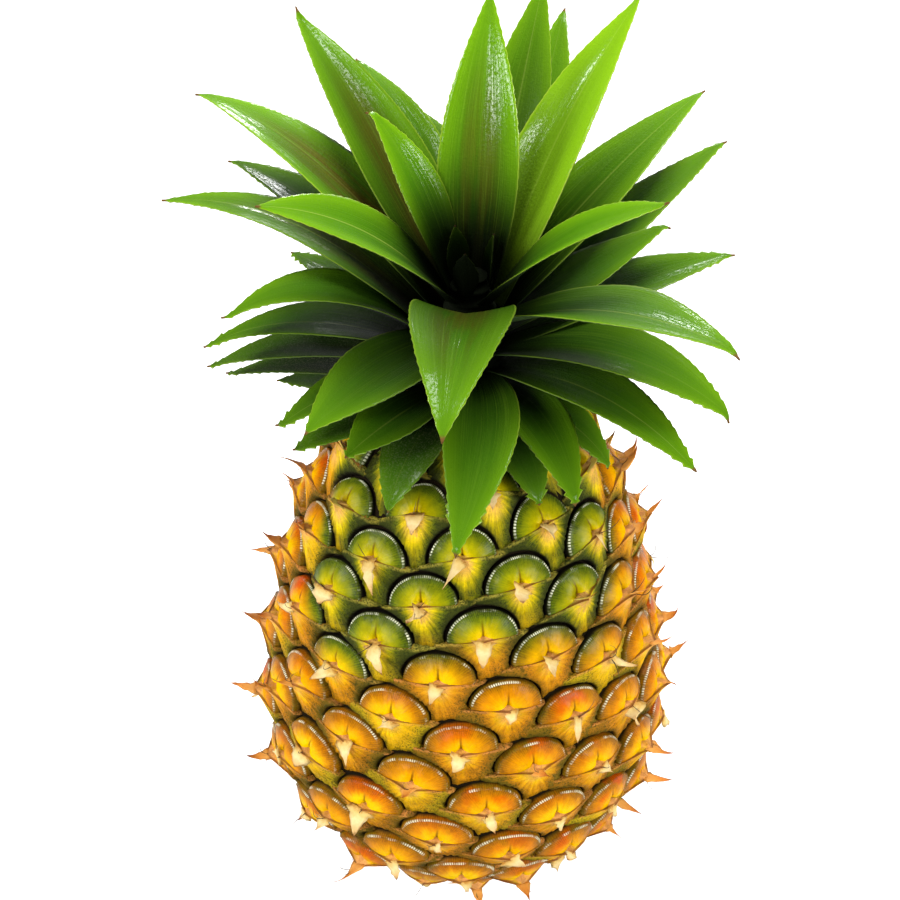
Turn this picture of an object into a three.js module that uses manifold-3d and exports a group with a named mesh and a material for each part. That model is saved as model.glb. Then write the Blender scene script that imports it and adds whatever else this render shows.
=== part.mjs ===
// A fresh pineapple with its leafy crown, standing on its cut base.
// Millimetres, +Z up. The origin is the middle of the cut stalk's end, on the surface the fruit stands on.
// The fruit is one grown body: a rounded barrel covered with spirally set eyes, each a raised dome over a
// pointed bract. A short stem above it carries the crown, and every crown leaf is a blade of its own.
import * as THREE from "three";
import { mergeVertices } from "three/addons/utils/BufferGeometryUtils.js";
import Module from "manifold-3d";

const wasm = await Module();
wasm.setup();

// ---------- driving dimensions ----------

// Radius of the skin, over the tops of the eyes, at heights from the base to the neck under the crown.
const SKIN_STATIONS = [
  { height: 0, radius: 31 },
  { height: 9, radius: 44 },
  { height: 27, radius: 57 },
  { height: 52, radius: 62 },
  { height: 77, radius: 59.5 },
  { height: 102, radius: 54.5 },
  { height: 122, radius: 48.5 },
  { height: 142, radius: 39 },
  { height: 156, radius: 24 },
];
const FRUIT_HEIGHT = 156;
const CORE_SIDES = 24;
const CORE_HEIGHTS = [0, 7, 18, 34, 54, 80, 108, 128, 144, 156];

// Eyes follow one spiral: each sits a fixed turn and rise after the last.
const EYE_COUNT = 149;
const EYE_TURN = -137.47;
const FIRST_EYE_ANGLE = 191.9;
const FIRST_EYE_HEIGHT = 5.4;
const EYE_RISE = 0.99;
const EYE_RELIEF = 4.4;
const EYE_ROOT = 2.5;
const EYE_FULL_RADIUS = 62;
// An eye's outline on the widest part of the fruit, across and up, clockwise from its top: a broad dome
// over a bract that narrows downwards.
const EYE_OUTLINE = [
  [0, 11.6],
  [9.6, 6.2],
  [8.4, -3.6],
  [0, -11.2],
  [-8.4, -3.6],
  [-9.6, 6.2],
];
const EYE_SHOULDER = 0.8;
const SHOULDER_RISE = 0.78;
const BRACT_DROP = 1.1;
// The bract's pointed tip in the middle of each eye.
const TIP_FOOT = 0.2;
const TIP_LENGTH = 5.2;
const TIP_LIFT = 3.4;

// The stalk that the fruit grew on, cut flush with its base.
const STALK_RADIUS = 13;
const STALK_HEIGHT = 9;
const STALK_SIDES = 20;

const GAP = 0.3;

// The crown's stem, from the neck of the fruit to its growing heart: height, radius.
const STEM_PROFILE = [
  [156, 17],
  [162, 13.5],
  [172, 10.5],
  [185, 7.5],
  [196, 4.5],
];
const STEM_SIDES = 14;

const LEAF_STEP_LENGTH = 11;
const LEAF_FEWEST_STEPS = 5;
const LEAF_BEND_POWER = 1.3;
const LEAF_MID_THICKNESS = 1.5;
const LEAF_EDGE_THICKNESS = 0.7;
const LEAF_TIP_HALF_WIDTH = 0.45;
const LEAF_WIDEST_AT = 0.4;
const LEAF_BASE_SHARE = 0.5;
const LEAF_CHANNEL = 0.3;

// Crown leaves from the heart outwards. around: compass angle of the blade, anticlockwise from +X;
// from: height of its root on the stem; rise, fall: slope at its root and at its tip, in degrees above
// level; long, wide: its size; sweep: how far it turns sideways by its tip; roll: twist about its length.
const HEART_LEAVES = [
  { around: -105, from: 193, rise: 89, fall: 84, long: 12, wide: 7 },
  { around: 15, from: 193, rise: 89, fall: 84, long: 14, wide: 8 },
  { around: 135, from: 193, rise: 89, fall: 84, long: 15, wide: 8 },
];
const INNER_LEAVES = [
  { around: 160, from: 192, rise: 75, fall: 43, long: 51, wide: 14, roll: -25 },
  { around: 81, from: 189, rise: 82, fall: 64, long: 76, wide: 21 },
  { around: -156, from: 190, rise: 52, fall: 6, long: 63, wide: 19, roll: -28 },
  { around: -38, from: 190, rise: 52, fall: 21, long: 67, wide: 15, roll: 30 },
  { around: 130, from: 188, rise: 48, fall: 25, long: 90, wide: 22 },
  { around: 40, from: 185, rise: 66, fall: 40, long: 88, wide: 22 },
  { around: 68, from: 185, rise: 62, fall: 50, long: 86, wide: 21, sweep: 4 },
  { around: -93, from: 185, rise: 41, fall: -41, long: 81, wide: 25, sweep: -4 },
  { around: 112, from: 184, rise: 46, fall: 4, long: 85, wide: 20, sweep: 6 },
  { around: 150, from: 184, rise: 46, fall: 0, long: 92, wide: 22 },
  { around: -48, from: 184, rise: 34, fall: -3, long: 87, wide: 24, sweep: -2 },
  { around: 37, from: 182, rise: 40, fall: 18, long: 86, wide: 22, sweep: 2 },
];
const MIDDLE_LEAVES = [
  { around: 64, from: 181, rise: 50, fall: 38, long: 89, wide: 20, sweep: 12 },
  { around: 100, from: 181, rise: 44, fall: -6, long: 74, wide: 20, sweep: 8 },
  { around: -130, from: 180, rise: 6, fall: -20, long: 53, wide: 23, sweep: -2 },
  { around: 12, from: 179, rise: 31, fall: 31, long: 52, wide: 19, sweep: 2 },
  { around: 167, from: 178, rise: 44, fall: -18, long: 84, wide: 20 },
  { around: 148, from: 178, rise: 38, fall: 0, long: 77, wide: 20, sweep: 2 },
  { around: 30, from: 177, rise: 31, fall: 24, long: 82, wide: 20, sweep: 2 },
  { around: -171, from: 177, rise: 44, fall: -52, long: 62, wide: 18 },
  { around: -31, from: 176, rise: 23, fall: -36, long: 69, wide: 24, sweep: -2 },
  { around: 8, from: 175, rise: 27, fall: 9, long: 65, wide: 22 },
  { around: 145, from: 174, rise: 14, fall: -3, long: 54, wide: 18, sweep: -5 },
  { around: -176, from: 173, rise: 25, fall: -40, long: 63, wide: 17, sweep: -2 },
  { around: -41, from: 172, rise: 16, fall: -38, long: 65, wide: 20 },
  { around: -83, from: 172, rise: 11, fall: -46, long: 67, wide: 19, sweep: -28 },
  { around: 46, from: 171, rise: 16, fall: -28, long: 62, wide: 18 },
  { around: 76, from: 171, rise: 18, fall: -32, long: 66, wide: 18 },
  { around: 108, from: 171, rise: 16, fall: -30, long: 62, wide: 18 },
];
const OUTER_LEAVES = [
  { around: 178, from: 169, rise: 12, fall: -37, long: 62, wide: 16, sweep: -5 },
  { around: -60, from: 169, rise: 12, fall: -60, long: 49, wide: 17, sweep: -6 },
  { around: -154, from: 168, rise: 11, fall: -40, long: 45, wide: 16 },
  { around: 174, from: 165, rise: 4, fall: -27, long: 56, wide: 15, sweep: -4 },
  { around: -133, from: 165, rise: 0, fall: -26, long: 33, wide: 19, sweep: -5 },
  { around: -33, from: 163, rise: 3, fall: -62, long: 35, wide: 15 },
  { around: 172, from: 161, rise: -3, fall: -10, long: 40, wide: 15, sweep: -4 },
  { around: -119, from: 162, rise: -4, fall: -66, long: 35, wide: 16, sweep: 4 },
  { around: -152, from: 161, rise: 1, fall: -26, long: 38, wide: 16, sweep: -3 },
  { around: -86, from: 161, rise: 0, fall: -56, long: 33, wide: 15, sweep: -12 },
  { around: -60, from: 160, rise: -11, fall: -66, long: 28, wide: 14, sweep: -3 },
  { around: -5, from: 163, rise: 4, fall: -56, long: 39, wide: 15 },
  { around: 26, from: 163, rise: 3, fall: -54, long: 39, wide: 15 },
  { around: 60, from: 162, rise: -2, fall: -60, long: 37, wide: 15 },
  { around: 93, from: 164, rise: 1, fall: -56, long: 39, wide: 15 },
  { around: 126, from: 162, rise: -2, fall: -58, long: 37, wide: 15 },
];

// ---------- materials ----------

const finish = (color, roughness) =>
  new THREE.MeshStandardMaterial({ color, roughness, metalness: 0 });
const rindFinish = finish(0xb07a24, 0.5);
const stalkFinish = finish(0xb9a06a, 0.85);
const stemFinish = finish(0x1c2a10, 0.6);
const leafFinish = finish(0x4f7f22, 0.35);

// ---------- helpers ----------

const radians = THREE.MathUtils.degToRad;

// A closed geometry as a manifold solid.
function solidOf(geometry) {
  const bare = geometry.clone();
  bare.deleteAttribute("normal");
  bare.deleteAttribute("uv");
  const merged = mergeVertices(bare, 1e-4);
  const made = new wasm.Manifold(
    new wasm.Mesh({
      numProp: 3,
      vertProperties: new Float32Array(merged.attributes.position.array),
      triVerts: new Uint32Array(merged.index.array),
    }),
  );
  return made;
}

// A manifold solid as a named mesh.
function meshOf(solid, name, material) {
  const raw = solid.getMesh();
  const geometry = new THREE.BufferGeometry();
  geometry.setAttribute("position", new THREE.BufferAttribute(raw.vertProperties, 3));
  geometry.setIndex(new THREE.BufferAttribute(raw.triVerts, 1));
  geometry.computeVertexNormals();
  const mesh = new THREE.Mesh(geometry, material);
  mesh.name = name;
  return mesh;
}

// The largest body of a solid, so that a scrap left by a cut is dropped.
function largestBody(solid) {
  const bodies = solid.decompose();
  bodies.sort((a, b) => b.volume() - a.volume());
  return bodies[0];
}

// A closed geometry from rings of equal length, joined in order, with a fan over each end.
function closedRings(rings) {
  const points = rings.flat();
  const count = rings[0].length;
  const faces = [];
  for (let r = 0; r + 1 < rings.length; r++)
    for (let i = 0; i < count; i++) {
      const a = r * count + i;
      const b = r * count + ((i + 1) % count);
      faces.push(a, b, b + count, a, b + count, a + count);
    }
  const last = (rings.length - 1) * count;
  for (let i = 1; i + 1 < count; i++) {
    faces.push(0, i + 1, i);
    faces.push(last, last + i, last + i + 1);
  }
  const geometry = new THREE.BufferGeometry().setFromPoints(points);
  geometry.setIndex(faces);
  return geometry;
}

// A body of revolution about +Z from a profile of [radius, height] pairs, listed up its outside.
function turned(profile, sides) {
  const outline = profile.map(([radius, height]) => new THREE.Vector2(radius, height));
  return new THREE.LatheGeometry(outline, sides).rotateX(Math.PI / 2);
}

// Smooth radius through the stations: a cubic between each two, with slopes from their neighbours.
function skinRadius(height) {
  const s = SKIN_STATIONS;
  const last = s.length - 2;
  let i = 0;
  while (i < last && height > s[i + 1].height) i++;
  const slope = (j) => {
    const a = s[Math.max(j - 1, 0)];
    const b = s[Math.min(j + 1, s.length - 1)];
    return (b.radius - a.radius) / (b.height - a.height);
  };
  const span = s[i + 1].height - s[i].height;
  const t = THREE.MathUtils.clamp((height - s[i].height) / span, 0, 1);
  const rise = t * t * (3 - 2 * t);
  return (
    s[i].radius * (1 - rise) +
    s[i + 1].radius * rise +
    slope(i) * span * t * (1 - t) ** 2 -
    slope(i + 1) * span * t * t * (1 - t)
  );
}

// ---------- the fruit ----------

// Barrel under the eyes, with a socket in its foot for the cut stalk.
function fruitCore() {
  const outside = CORE_HEIGHTS.map((h) => [skinRadius(h) - EYE_RELIEF, h]);
  const socketRadius = STALK_RADIUS + GAP;
  const socketTop = STALK_HEIGHT + GAP;
  const socket = [[0, socketTop], [socketRadius, socketTop], [socketRadius, 0]];
  return solidOf(turned([...socket, ...outside, [0, FRUIT_HEIGHT]], CORE_SIDES));
}

// One eye: a sunk root, a rounded shoulder, and the bract's thorn-like tip rising from the middle.
function eyeSolid(index) {
  const angle = radians(FIRST_EYE_ANGLE + EYE_TURN * index);
  const height = FIRST_EYE_HEIGHT + EYE_RISE * index;
  const skin = skinRadius(height);
  const slope = (skinRadius(height + 1) - skinRadius(height - 1)) / 2;
  const radial = new THREE.Vector3(Math.cos(angle), Math.sin(angle), 0);
  const across = new THREE.Vector3(-Math.sin(angle), Math.cos(angle), 0);
  const up = radial.clone().multiplyScalar(slope).add(new THREE.Vector3(0, 0, 1)).normalize();
  const out = across.clone().cross(up).normalize();
  const place = radial.clone().multiplyScalar(skin).addScaledVector(out, -EYE_RELIEF).setZ(height);
  const size = Math.sqrt(skin / EYE_FULL_RADIUS);
  const at = (x, y, z) =>
    place
      .clone()
      .addScaledVector(across, x * size)
      .addScaledVector(up, y * size)
      .addScaledVector(out, z);
  const ring = (scale, depth, sag) =>
    EYE_OUTLINE.map(([x, y]) => at(x * scale, y * scale, depth - (y < 0 ? sag : 0))).reverse();
  const root = ring(1, -EYE_ROOT, 0);
  const shoulder = ring(EYE_SHOULDER, EYE_RELIEF * SHOULDER_RISE, BRACT_DROP);
  const foot = ring(TIP_FOOT, EYE_RELIEF, 0).filter((_, i) => i % 2 === 0);
  const tip = at(0, TIP_LIFT, EYE_RELIEF + TIP_LENGTH);
  const sides = EYE_OUTLINE.length;
  const corners = foot.length;
  const footAt = 2 * sides;
  const tipAt = footAt + corners;
  const faces = [];
  for (let i = 0; i < sides; i++) {
    const next = (i + 1) % sides;
    faces.push(i, next, sides + next, i, sides + next, sides + i);
    faces.push(sides + i, sides + next, footAt + (((i + 1) >> 1) % corners));
  }
  for (let c = 0; c < corners; c++) {
    const d = (c + 1) % corners;
    faces.push(footAt + c, sides + 2 * c + 1, footAt + d);
    faces.push(footAt + c, footAt + d, tipAt);
  }
  for (let i = 1; i + 1 < sides; i++) faces.push(0, i + 1, i);
  const geometry = new THREE.BufferGeometry().setFromPoints([...root, ...shoulder, ...foot, tip]);
  geometry.setIndex(faces);
  return solidOf(geometry);
}

// The barrel with its eyes, the lowest trimmed to the flat that the fruit stands on.
function fruit() {
  let solid = fruitCore();
  for (let i = 0; i < EYE_COUNT; i++) solid = solid.add(eyeSolid(i));
  const across = 4 * EYE_FULL_RADIUS;
  const below = new THREE.BoxGeometry(across, across, across).translate(0, 0, -across / 2);
  return solid.subtract(solidOf(below));
}

// ---------- the stalk and the crown's stem ----------

function cutStalk() {
  const profile = [
    [0, 0],
    [STALK_RADIUS, 0],
    [STALK_RADIUS, STALK_HEIGHT],
    [0, STALK_HEIGHT],
  ];
  return solidOf(turned(profile, STALK_SIDES));
}

function crownStem(extra = 0) {
  const outside = STEM_PROFILE.map(([height, radius]) => [radius + extra, height]);
  const foot = STEM_PROFILE[0][0] + GAP;
  const top = STEM_PROFILE[STEM_PROFILE.length - 1][0];
  outside[0][1] = foot;
  return solidOf(turned([[0, foot], ...outside, [0, top + extra]], STEM_SIDES));
}

// ---------- the crown leaves ----------

function stemRadius(height) {
  for (let i = 1; i < STEM_PROFILE.length; i++) {
    const [h0, r0] = STEM_PROFILE[i - 1];
    const [h1, r1] = STEM_PROFILE[i];
    if (height <= h1) return r0 + ((r1 - r0) * (height - h0)) / (h1 - h0);
  }
  return STEM_PROFILE[STEM_PROFILE.length - 1][1];
}

// Half the width of a blade, as a share of its greatest, along its length from 0 to 1.
function leafShare(s) {
  if (s < LEAF_WIDEST_AT)
    return LEAF_BASE_SHARE + (1 - LEAF_BASE_SHARE) * Math.sin((s / LEAF_WIDEST_AT) * (Math.PI / 2));
  return Math.cos(((s - LEAF_WIDEST_AT) / (1 - LEAF_WIDEST_AT)) * (Math.PI / 2));
}

// A channelled blade that leaves the stem and arches outwards: its midline is walked in steps whose
// slope turns from rise to fall. extra thickens it all round, for the clearance that it cuts in others.
function leafSolid(leaf, extra = 0) {
  const { around, from, rise, fall, long, wide, sweep = 0, roll = 0 } = leaf;
  const start = radians(around);
  const root = stemRadius(from);
  const place = new THREE.Vector3(root * Math.cos(start), root * Math.sin(start), from);
  const steps = Math.max(Math.round(long / LEAF_STEP_LENGTH), LEAF_FEWEST_STEPS);
  const step = long / steps;
  const rings = [];
  for (let k = 0; k <= steps; k++) {
    const s = k / steps;
    const slope = radians(rise + (fall - rise) * s ** LEAF_BEND_POWER);
    const angle = radians(around + sweep * s);
    const along = new THREE.Vector3(
      Math.cos(slope) * Math.cos(angle),
      Math.cos(slope) * Math.sin(angle),
      Math.sin(slope),
    );
    const across = new THREE.Vector3(-Math.sin(angle), Math.cos(angle), 0);
    across.applyAxisAngle(along, radians(roll * Math.sqrt(s)));
    const inner = along.clone().cross(across);
    const half = Math.max((wide / 2) * leafShare(s), LEAF_TIP_HALF_WIDTH) + extra;
    const lift = LEAF_CHANNEL * half * (1 - 0.6 * s);
    const mid = (LEAF_MID_THICKNESS + (LEAF_EDGE_THICKNESS - LEAF_MID_THICKNESS) * s) / 2 + extra;
    const edge = LEAF_EDGE_THICKNESS / 2 + extra;
    const at = (x, y) => place.clone().addScaledVector(across, x).addScaledVector(inner, y);
    rings.push([
      at(-half, lift + edge),
      at(-half, lift - edge),
      at(0, -mid),
      at(half, lift - edge),
      at(half, lift + edge),
      at(0, mid),
    ]);
    place.addScaledVector(along, step);
  }
  return solidOf(closedRings(rings));
}

// Each blade is cut clear of the stem and of the blades inside it where their roots crowd together.
function crownLeaves() {
  const stem = crownStem(GAP);
  const placed = [];
  const leaves = [...HEART_LEAVES, ...INNER_LEAVES, ...MIDDLE_LEAVES, ...OUTER_LEAVES];
  return leaves.map((leaf) => {
    let solid = leafSolid(leaf).subtract(stem);
    for (const clearance of placed) solid = solid.subtract(clearance);
    placed.push(leafSolid(leaf, GAP));
    return largestBody(solid);
  });
}

// ---------- the whole pineapple ----------

const pineapple = new THREE.Group();
pineapple.add(meshOf(fruit(), "fruit", rindFinish));
pineapple.add(meshOf(cutStalk(), "cut_stalk", stalkFinish));
pineapple.add(meshOf(crownStem(), "crown_stem", stemFinish));
crownLeaves().forEach((solid, i) => {
  const number = String(i + 1).padStart(2, "0");
  pineapple.add(meshOf(solid, `leaf_${number}`, leafFinish));
});

export default pineapple;
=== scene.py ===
# %% [markdown]
# # A fresh pineapple
#
# A pineapple is one grown fruit with a leafy crown. Its rind is made of eyes: each is a plump dome, the
# end of one small fruitlet, and below the dome a ribbed bract runs down to a dry papery tip. The eyes
# follow one long spiral, and so do the stiff, channelled leaves of the crown.
#
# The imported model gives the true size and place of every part. This script keeps those, and builds the
# finer surfaces around them.

# %% Load the frame
import math

import bpy
import numpy as np
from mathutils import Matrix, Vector


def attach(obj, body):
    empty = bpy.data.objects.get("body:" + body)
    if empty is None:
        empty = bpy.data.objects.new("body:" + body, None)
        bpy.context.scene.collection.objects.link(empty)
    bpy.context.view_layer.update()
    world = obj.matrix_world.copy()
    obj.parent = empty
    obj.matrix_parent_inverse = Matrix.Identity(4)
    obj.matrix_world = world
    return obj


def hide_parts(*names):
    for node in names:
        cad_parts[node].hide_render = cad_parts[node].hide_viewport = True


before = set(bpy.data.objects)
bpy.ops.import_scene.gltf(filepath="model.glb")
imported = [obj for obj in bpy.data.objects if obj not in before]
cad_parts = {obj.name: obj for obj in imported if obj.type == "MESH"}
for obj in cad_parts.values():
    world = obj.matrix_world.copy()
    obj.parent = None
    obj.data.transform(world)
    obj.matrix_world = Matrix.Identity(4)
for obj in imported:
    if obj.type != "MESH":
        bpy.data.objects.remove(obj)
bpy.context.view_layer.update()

# %% [markdown]
# ## Small helpers
#
# Every surface below is worked out as whole numpy arrays and handed to Blender in one go. The helpers
# cover what all pieces share: a smooth step, a mesh object that carries named numbers for its material to
# read, and the faces of a closed shape made of rings. Blender's own modifiers could build such shapes too,
# but here every point's place and numbers have to come from the same few formulas.

# %% Numbers
MM = 0.001


def smooth(low, high, value):
    """0 below low, 1 above high, and 3 t squared minus 2 t cubed between them."""
    t = np.clip((value - low) / (high - low), 0.0, 1.0)
    return t * t * (3 - 2 * t)


def mixed(share, first, second):
    """The first value where the share is 0, the second where it is 1, and a straight blend between."""
    return first + (second - first) * share


# %% Mesh objects
def mesh_object(name, points, threes, fours, numbers=None):
    """A mesh object from points in metres, triangles and quads, with named numbers on its points.

    The numbers are spread over the points: each may be given for every point, for every copy of a shape,
    for one copy or just once.
    """
    mesh = bpy.data.meshes.new(name)
    mesh.from_pydata(points.reshape(-1, 3).tolist(), [], threes.tolist() + fours.tolist())
    mesh.polygons.foreach_set("use_smooth", np.ones(len(mesh.polygons), bool))
    for label, values in (numbers or {}).items():
        attribute = mesh.attributes.new(label, "FLOAT", "POINT")
        spread = np.broadcast_to(values, points.shape[:-1]).astype(np.float32)
        attribute.data.foreach_set("value", spread.ravel())
    mesh.update()
    piece = bpy.data.objects.new(name, mesh)
    bpy.context.scene.collection.objects.link(piece)
    print(f"{name}: {len(mesh.vertices)} points, {len(threes) + 2 * len(fours)} triangles")
    return piece


def capped_rings(copies, rings, around):
    """Faces of copies of a closed shape: a first point, rings of points about it, and a last point.

    Each copy's points are numbered first point, ring by ring, last point. A fan joins the first point to
    the first ring, quads join each ring to the next, and a fan closes the last ring on the last point.
    """
    step = np.arange(around)
    after = (step + 1) % around
    fan = np.stack([np.zeros_like(step), 1 + step, 1 + after], -1)
    ring = 1 + around * np.arange(rings - 1)[:, None]
    quads = np.stack([ring + step, ring + around + step, ring + around + after, ring + after], -1)
    end = 1 + around * (rings - 1)
    close = np.stack([end + step, np.full_like(step, 1 + around * rings), end + after], -1)
    start = (np.arange(copies) * (around * rings + 2))[:, None, None]
    threes = np.concatenate([fan, close])[None] + start
    fours = quads.reshape(1, -1, 4) + start
    return threes.reshape(-1, 3), fours.reshape(-1, 4)


def ringed_object(name, points, around, numbers=None, turned_over=False):
    """A mesh object of one closed shape made of rings, or of several copies of it.

    turned_over turns its faces over, for rings that are numbered the other way round.
    """
    count = points.shape[-2]
    copies = points.size // (3 * count)
    threes, fours = capped_rings(copies, (count - 2) // around, around)
    if turned_over:
        threes, fours = threes[:, ::-1], fours[:, ::-1]
    return mesh_object(name, points, threes, fours, numbers)


# %% [markdown]
# ## The skin
#
# The body is a rounded barrel, widest a third of the way up. Its outline is a smooth curve through a few
# measured radii. A point of the skin is then named by two numbers, how far it lies along that outline and
# its compass angle, and a third number lifts it off the skin. The eyes could be copies of one mesh set on
# a barrel, but stiff copies would leave gaps. Shapes drawn with these numbers wrap round the fruit by
# themselves, so that neighbouring eyes meet all over it.

# %% Outline of the fruit
FRUIT_HEIGHT = 156 * MM
STATION_HEIGHTS = np.array([0, 9, 27, 52, 77, 102, 122, 142, 156]) * MM
STATION_RADII = np.array([31, 44, 57, 62, 59.5, 54.5, 48.5, 39, 24]) * MM
FOOT_RADIUS = 10 * MM
NECK_RADIUS = 8 * MM
NECK_RISE = 3 * MM
OUTLINE_POINTS = 600
OUTLINE_SOFTNESS = 21

station = np.arange(len(STATION_HEIGHTS))
below = np.maximum(station - 1, 0)
above = np.minimum(station + 1, station[-1])
station_slopes = STATION_RADII[above] - STATION_RADII[below]
station_slopes = station_slopes / (STATION_HEIGHTS[above] - STATION_HEIGHTS[below])


def skin_radius(height):
    """Radius at a height: between two stations, the cubic that meets both radii and both slopes."""
    i = np.clip(np.searchsorted(STATION_HEIGHTS, height, side="right") - 1, 0, len(station) - 2)
    span = STATION_HEIGHTS[i + 1] - STATION_HEIGHTS[i]
    t = np.clip((height - STATION_HEIGHTS[i]) / span, 0, 1)
    rise = t * t * (3 - 2 * t)
    bend = station_slopes[i] * t * (1 - t) ** 2 - station_slopes[i + 1] * t * t * (1 - t)
    return mixed(rise, STATION_RADII[i], STATION_RADII[i + 1]) + bend * span


# %% Points at even steps along the outline
side_height = np.linspace(0, FRUIT_HEIGHT, OUTLINE_POINTS)
side_radius = skin_radius(side_height)
outline_radius = np.concatenate([[FOOT_RADIUS], side_radius, [NECK_RADIUS]])
outline_height = np.concatenate([[0], side_height, [FRUIT_HEIGHT + NECK_RISE]])
outline_steps = np.hypot(np.diff(outline_radius), np.diff(outline_height))
outline_length = np.concatenate([[0], np.cumsum(outline_steps)])
outline_length -= outline_length[1]
even_length = np.linspace(outline_length[0], outline_length[-1], OUTLINE_POINTS)
even_radius = np.interp(even_length, outline_length, outline_radius)
even_height = np.interp(even_length, outline_length, outline_height)
print("outline length from the foot to the neck:", round(outline_length[-2] / MM, 1), "mm")

# %% Points on and above the skin
def softened(values):
    """The running mean of a row of values."""
    blur = np.ones(OUTLINE_SOFTNESS) / OUTLINE_SOFTNESS
    return np.convolve(np.pad(values, OUTLINE_SOFTNESS // 2, "edge"), blur, "valid")


out_sideways = softened(np.gradient(even_height))
out_upwards = softened(-np.gradient(even_radius))
out_size = np.hypot(out_sideways, out_upwards)
out_sideways, out_upwards = out_sideways / out_size, out_upwards / out_size


def round_axis(radius, angle, height):
    """Points at a radius from the upright axis, a compass angle and a height."""
    return np.stack(np.broadcast_arrays(radius * np.cos(angle), radius * np.sin(angle), height), -1)


def on_skin(length, angle, lift):
    """Point of the fruit at a length along its outline and a compass angle, lifted off the skin.

    The outline's radius and height there are moved along its outward normal by the lift, and the radius
    is then turned to the angle. Nothing goes below the surface that the fruit stands on.
    """
    radius = np.interp(length, even_length, even_radius)
    radius = radius + lift * np.interp(length, even_length, out_sideways)
    height = np.interp(length, even_length, even_height)
    height = height + lift * np.interp(length, even_length, out_upwards)
    return round_axis(radius, angle, np.maximum(height, 0))


print("widest radius of the skin:", round(on_skin(even_length, 0, 0)[:, 0].max() / MM, 1), "mm")

# %% [markdown]
# ## The spiral of eyes
#
# Eyes grow one after another, each a golden angle round from the last and a little higher. Seen on the
# finished fruit they fall into 8 shallow and 13 steeper rows, though only one spiral was ever followed.
# A grid of rows could be bent round the fruit instead, but it would show a seam where its ends meet.

# %% Place of every eye
EYE_COUNT = 160
EYE_TURN = -137.47
FIRST_EYE_ANGLE = 191.9
FIRST_EYE_HEIGHT = 5.4 * MM
EYE_RISE = 0.99 * MM
EYE_RELIEF = 3.6
EYE_FULL_RADIUS = 62 * MM
TOP_STRETCH = 1.6
LEAN_SPREAD = 2.5
PLUMP_SPREAD = 0.06

# The upper part of the fruit begins between two heights. An eye below it has the first tallness and lean
# of these pairs, and one in it the second. Of the chances to be worn, the second is for the front.
UPPER_FROM = (75 * MM, 120 * MM)
TALLNESS = (0.96, 1.06)
LEAN = (-2.0, 6.0)
WORN = (0.1, 0.85)

seed = np.random.default_rng(8)
eye = np.arange(EYE_COUNT)
eye_angle = np.radians(FIRST_EYE_ANGLE + EYE_TURN * eye)
eye_height = FIRST_EYE_HEIGHT + EYE_RISE * eye
eye_length = np.interp(eye_height, side_height, outline_length[1:-1])
eye_length += TOP_STRETCH * np.maximum(eye_height - FRUIT_HEIGHT, 0)
eye_skin = np.interp(eye_length, even_length, even_radius)
eye_slope = np.interp(eye_height, side_height, np.gradient(side_radius, side_height))
eye_upper = smooth(*UPPER_FROM, eye_height)
eye_wide = (eye_skin / EYE_FULL_RADIUS) ** 0.4
eye_tall = (eye_skin / EYE_FULL_RADIUS) ** 0.25 * (1 + eye_slope**2) ** 0.4 * mixed(eye_upper, *TALLNESS)
eye_chance = seed.random(EYE_COUNT)
eye_lean = np.radians(mixed(eye_upper, *LEAN) + seed.normal(0, LEAN_SPREAD, EYE_COUNT))
eye_plump = seed.normal(1, PLUMP_SPREAD, EYE_COUNT)
eye_front = smooth(0.35, 0.8, -np.sin(eye_angle))
eye_worn = seed.random(EYE_COUNT) < mixed(eye_front, *WORN)
print(EYE_COUNT, "eyes, from", eye_height[0] / MM, "to", round(eye_height[-1] / MM, 1), "mm up")
print(eye_worn.sum(), "of them are worn")

# %% From an eye's own x and y to a point
def leaned(x, y, lean):
    """x and y of points turned about their origin by an angle."""
    return x * np.cos(lean) - y * np.sin(lean), x * np.sin(lean) + y * np.cos(lean)


def on_eye(x, y, height):
    """Point of each eye, from x across it, y up it and its height over the grooves, all in millimetres.

    x and y are leaned by the eye's own small angle and scaled to its size, then x becomes a compass
    angle and y a length along the outline. Returns the points, and each one's length and angle.
    """
    across, along = leaned(x, y, eye_lean[:, None])
    length = eye_length[:, None] + along * eye_tall[:, None] * MM
    angle = eye_angle[:, None] + across * eye_wide[:, None] * MM / eye_skin[:, None]
    return on_skin(length, angle, (height - EYE_RELIEF) * MM), length, angle


# %% [markdown]
# ## How ripe each part is
#
# A pineapple ripens from its base up, and faster on its sunny flanks. One number from 0, green, to 1,
# orange, is worked out from height and compass angle, with a little chance for each eye. It could be
# painted on by hand, but a number on each point lets domes, bracts and tips turn at the same place.

# %% Ripeness
GREEN_ABOVE = 122 * MM
RIPE_BELOW = 88 * MM
FLANK_RISE = 62 * MM
CHANCE_RISE = 16 * MM


def ripeness(points):
    """1 below a height, 0 above another, both raised towards the two flanks and shifted by chance."""
    facing = np.abs(points[..., 1]) / np.maximum(np.hypot(points[..., 0], points[..., 1]), MM)
    flank = smooth(0.25, 0.95, 1 - facing)
    level = points[..., 2] - FLANK_RISE * flank + (eye_chance[:, None] - 0.5) * CHANCE_RISE
    return 1 - smooth(RIPE_BELOW, GREEN_ABOVE, level)


# %% [markdown]
# ## The domes
#
# Above each bract sits a dome about twice as wide as it is high, parted in the middle by a shallow
# crease. It is a disc drawn with a distance and a direction from the middle of its foot, so that its
# rim, where it rolls over into the dark groove, falls on one ring of points and stays crisp. A flat grid
# pushed out into the same shape would need far more points to do that.

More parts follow.
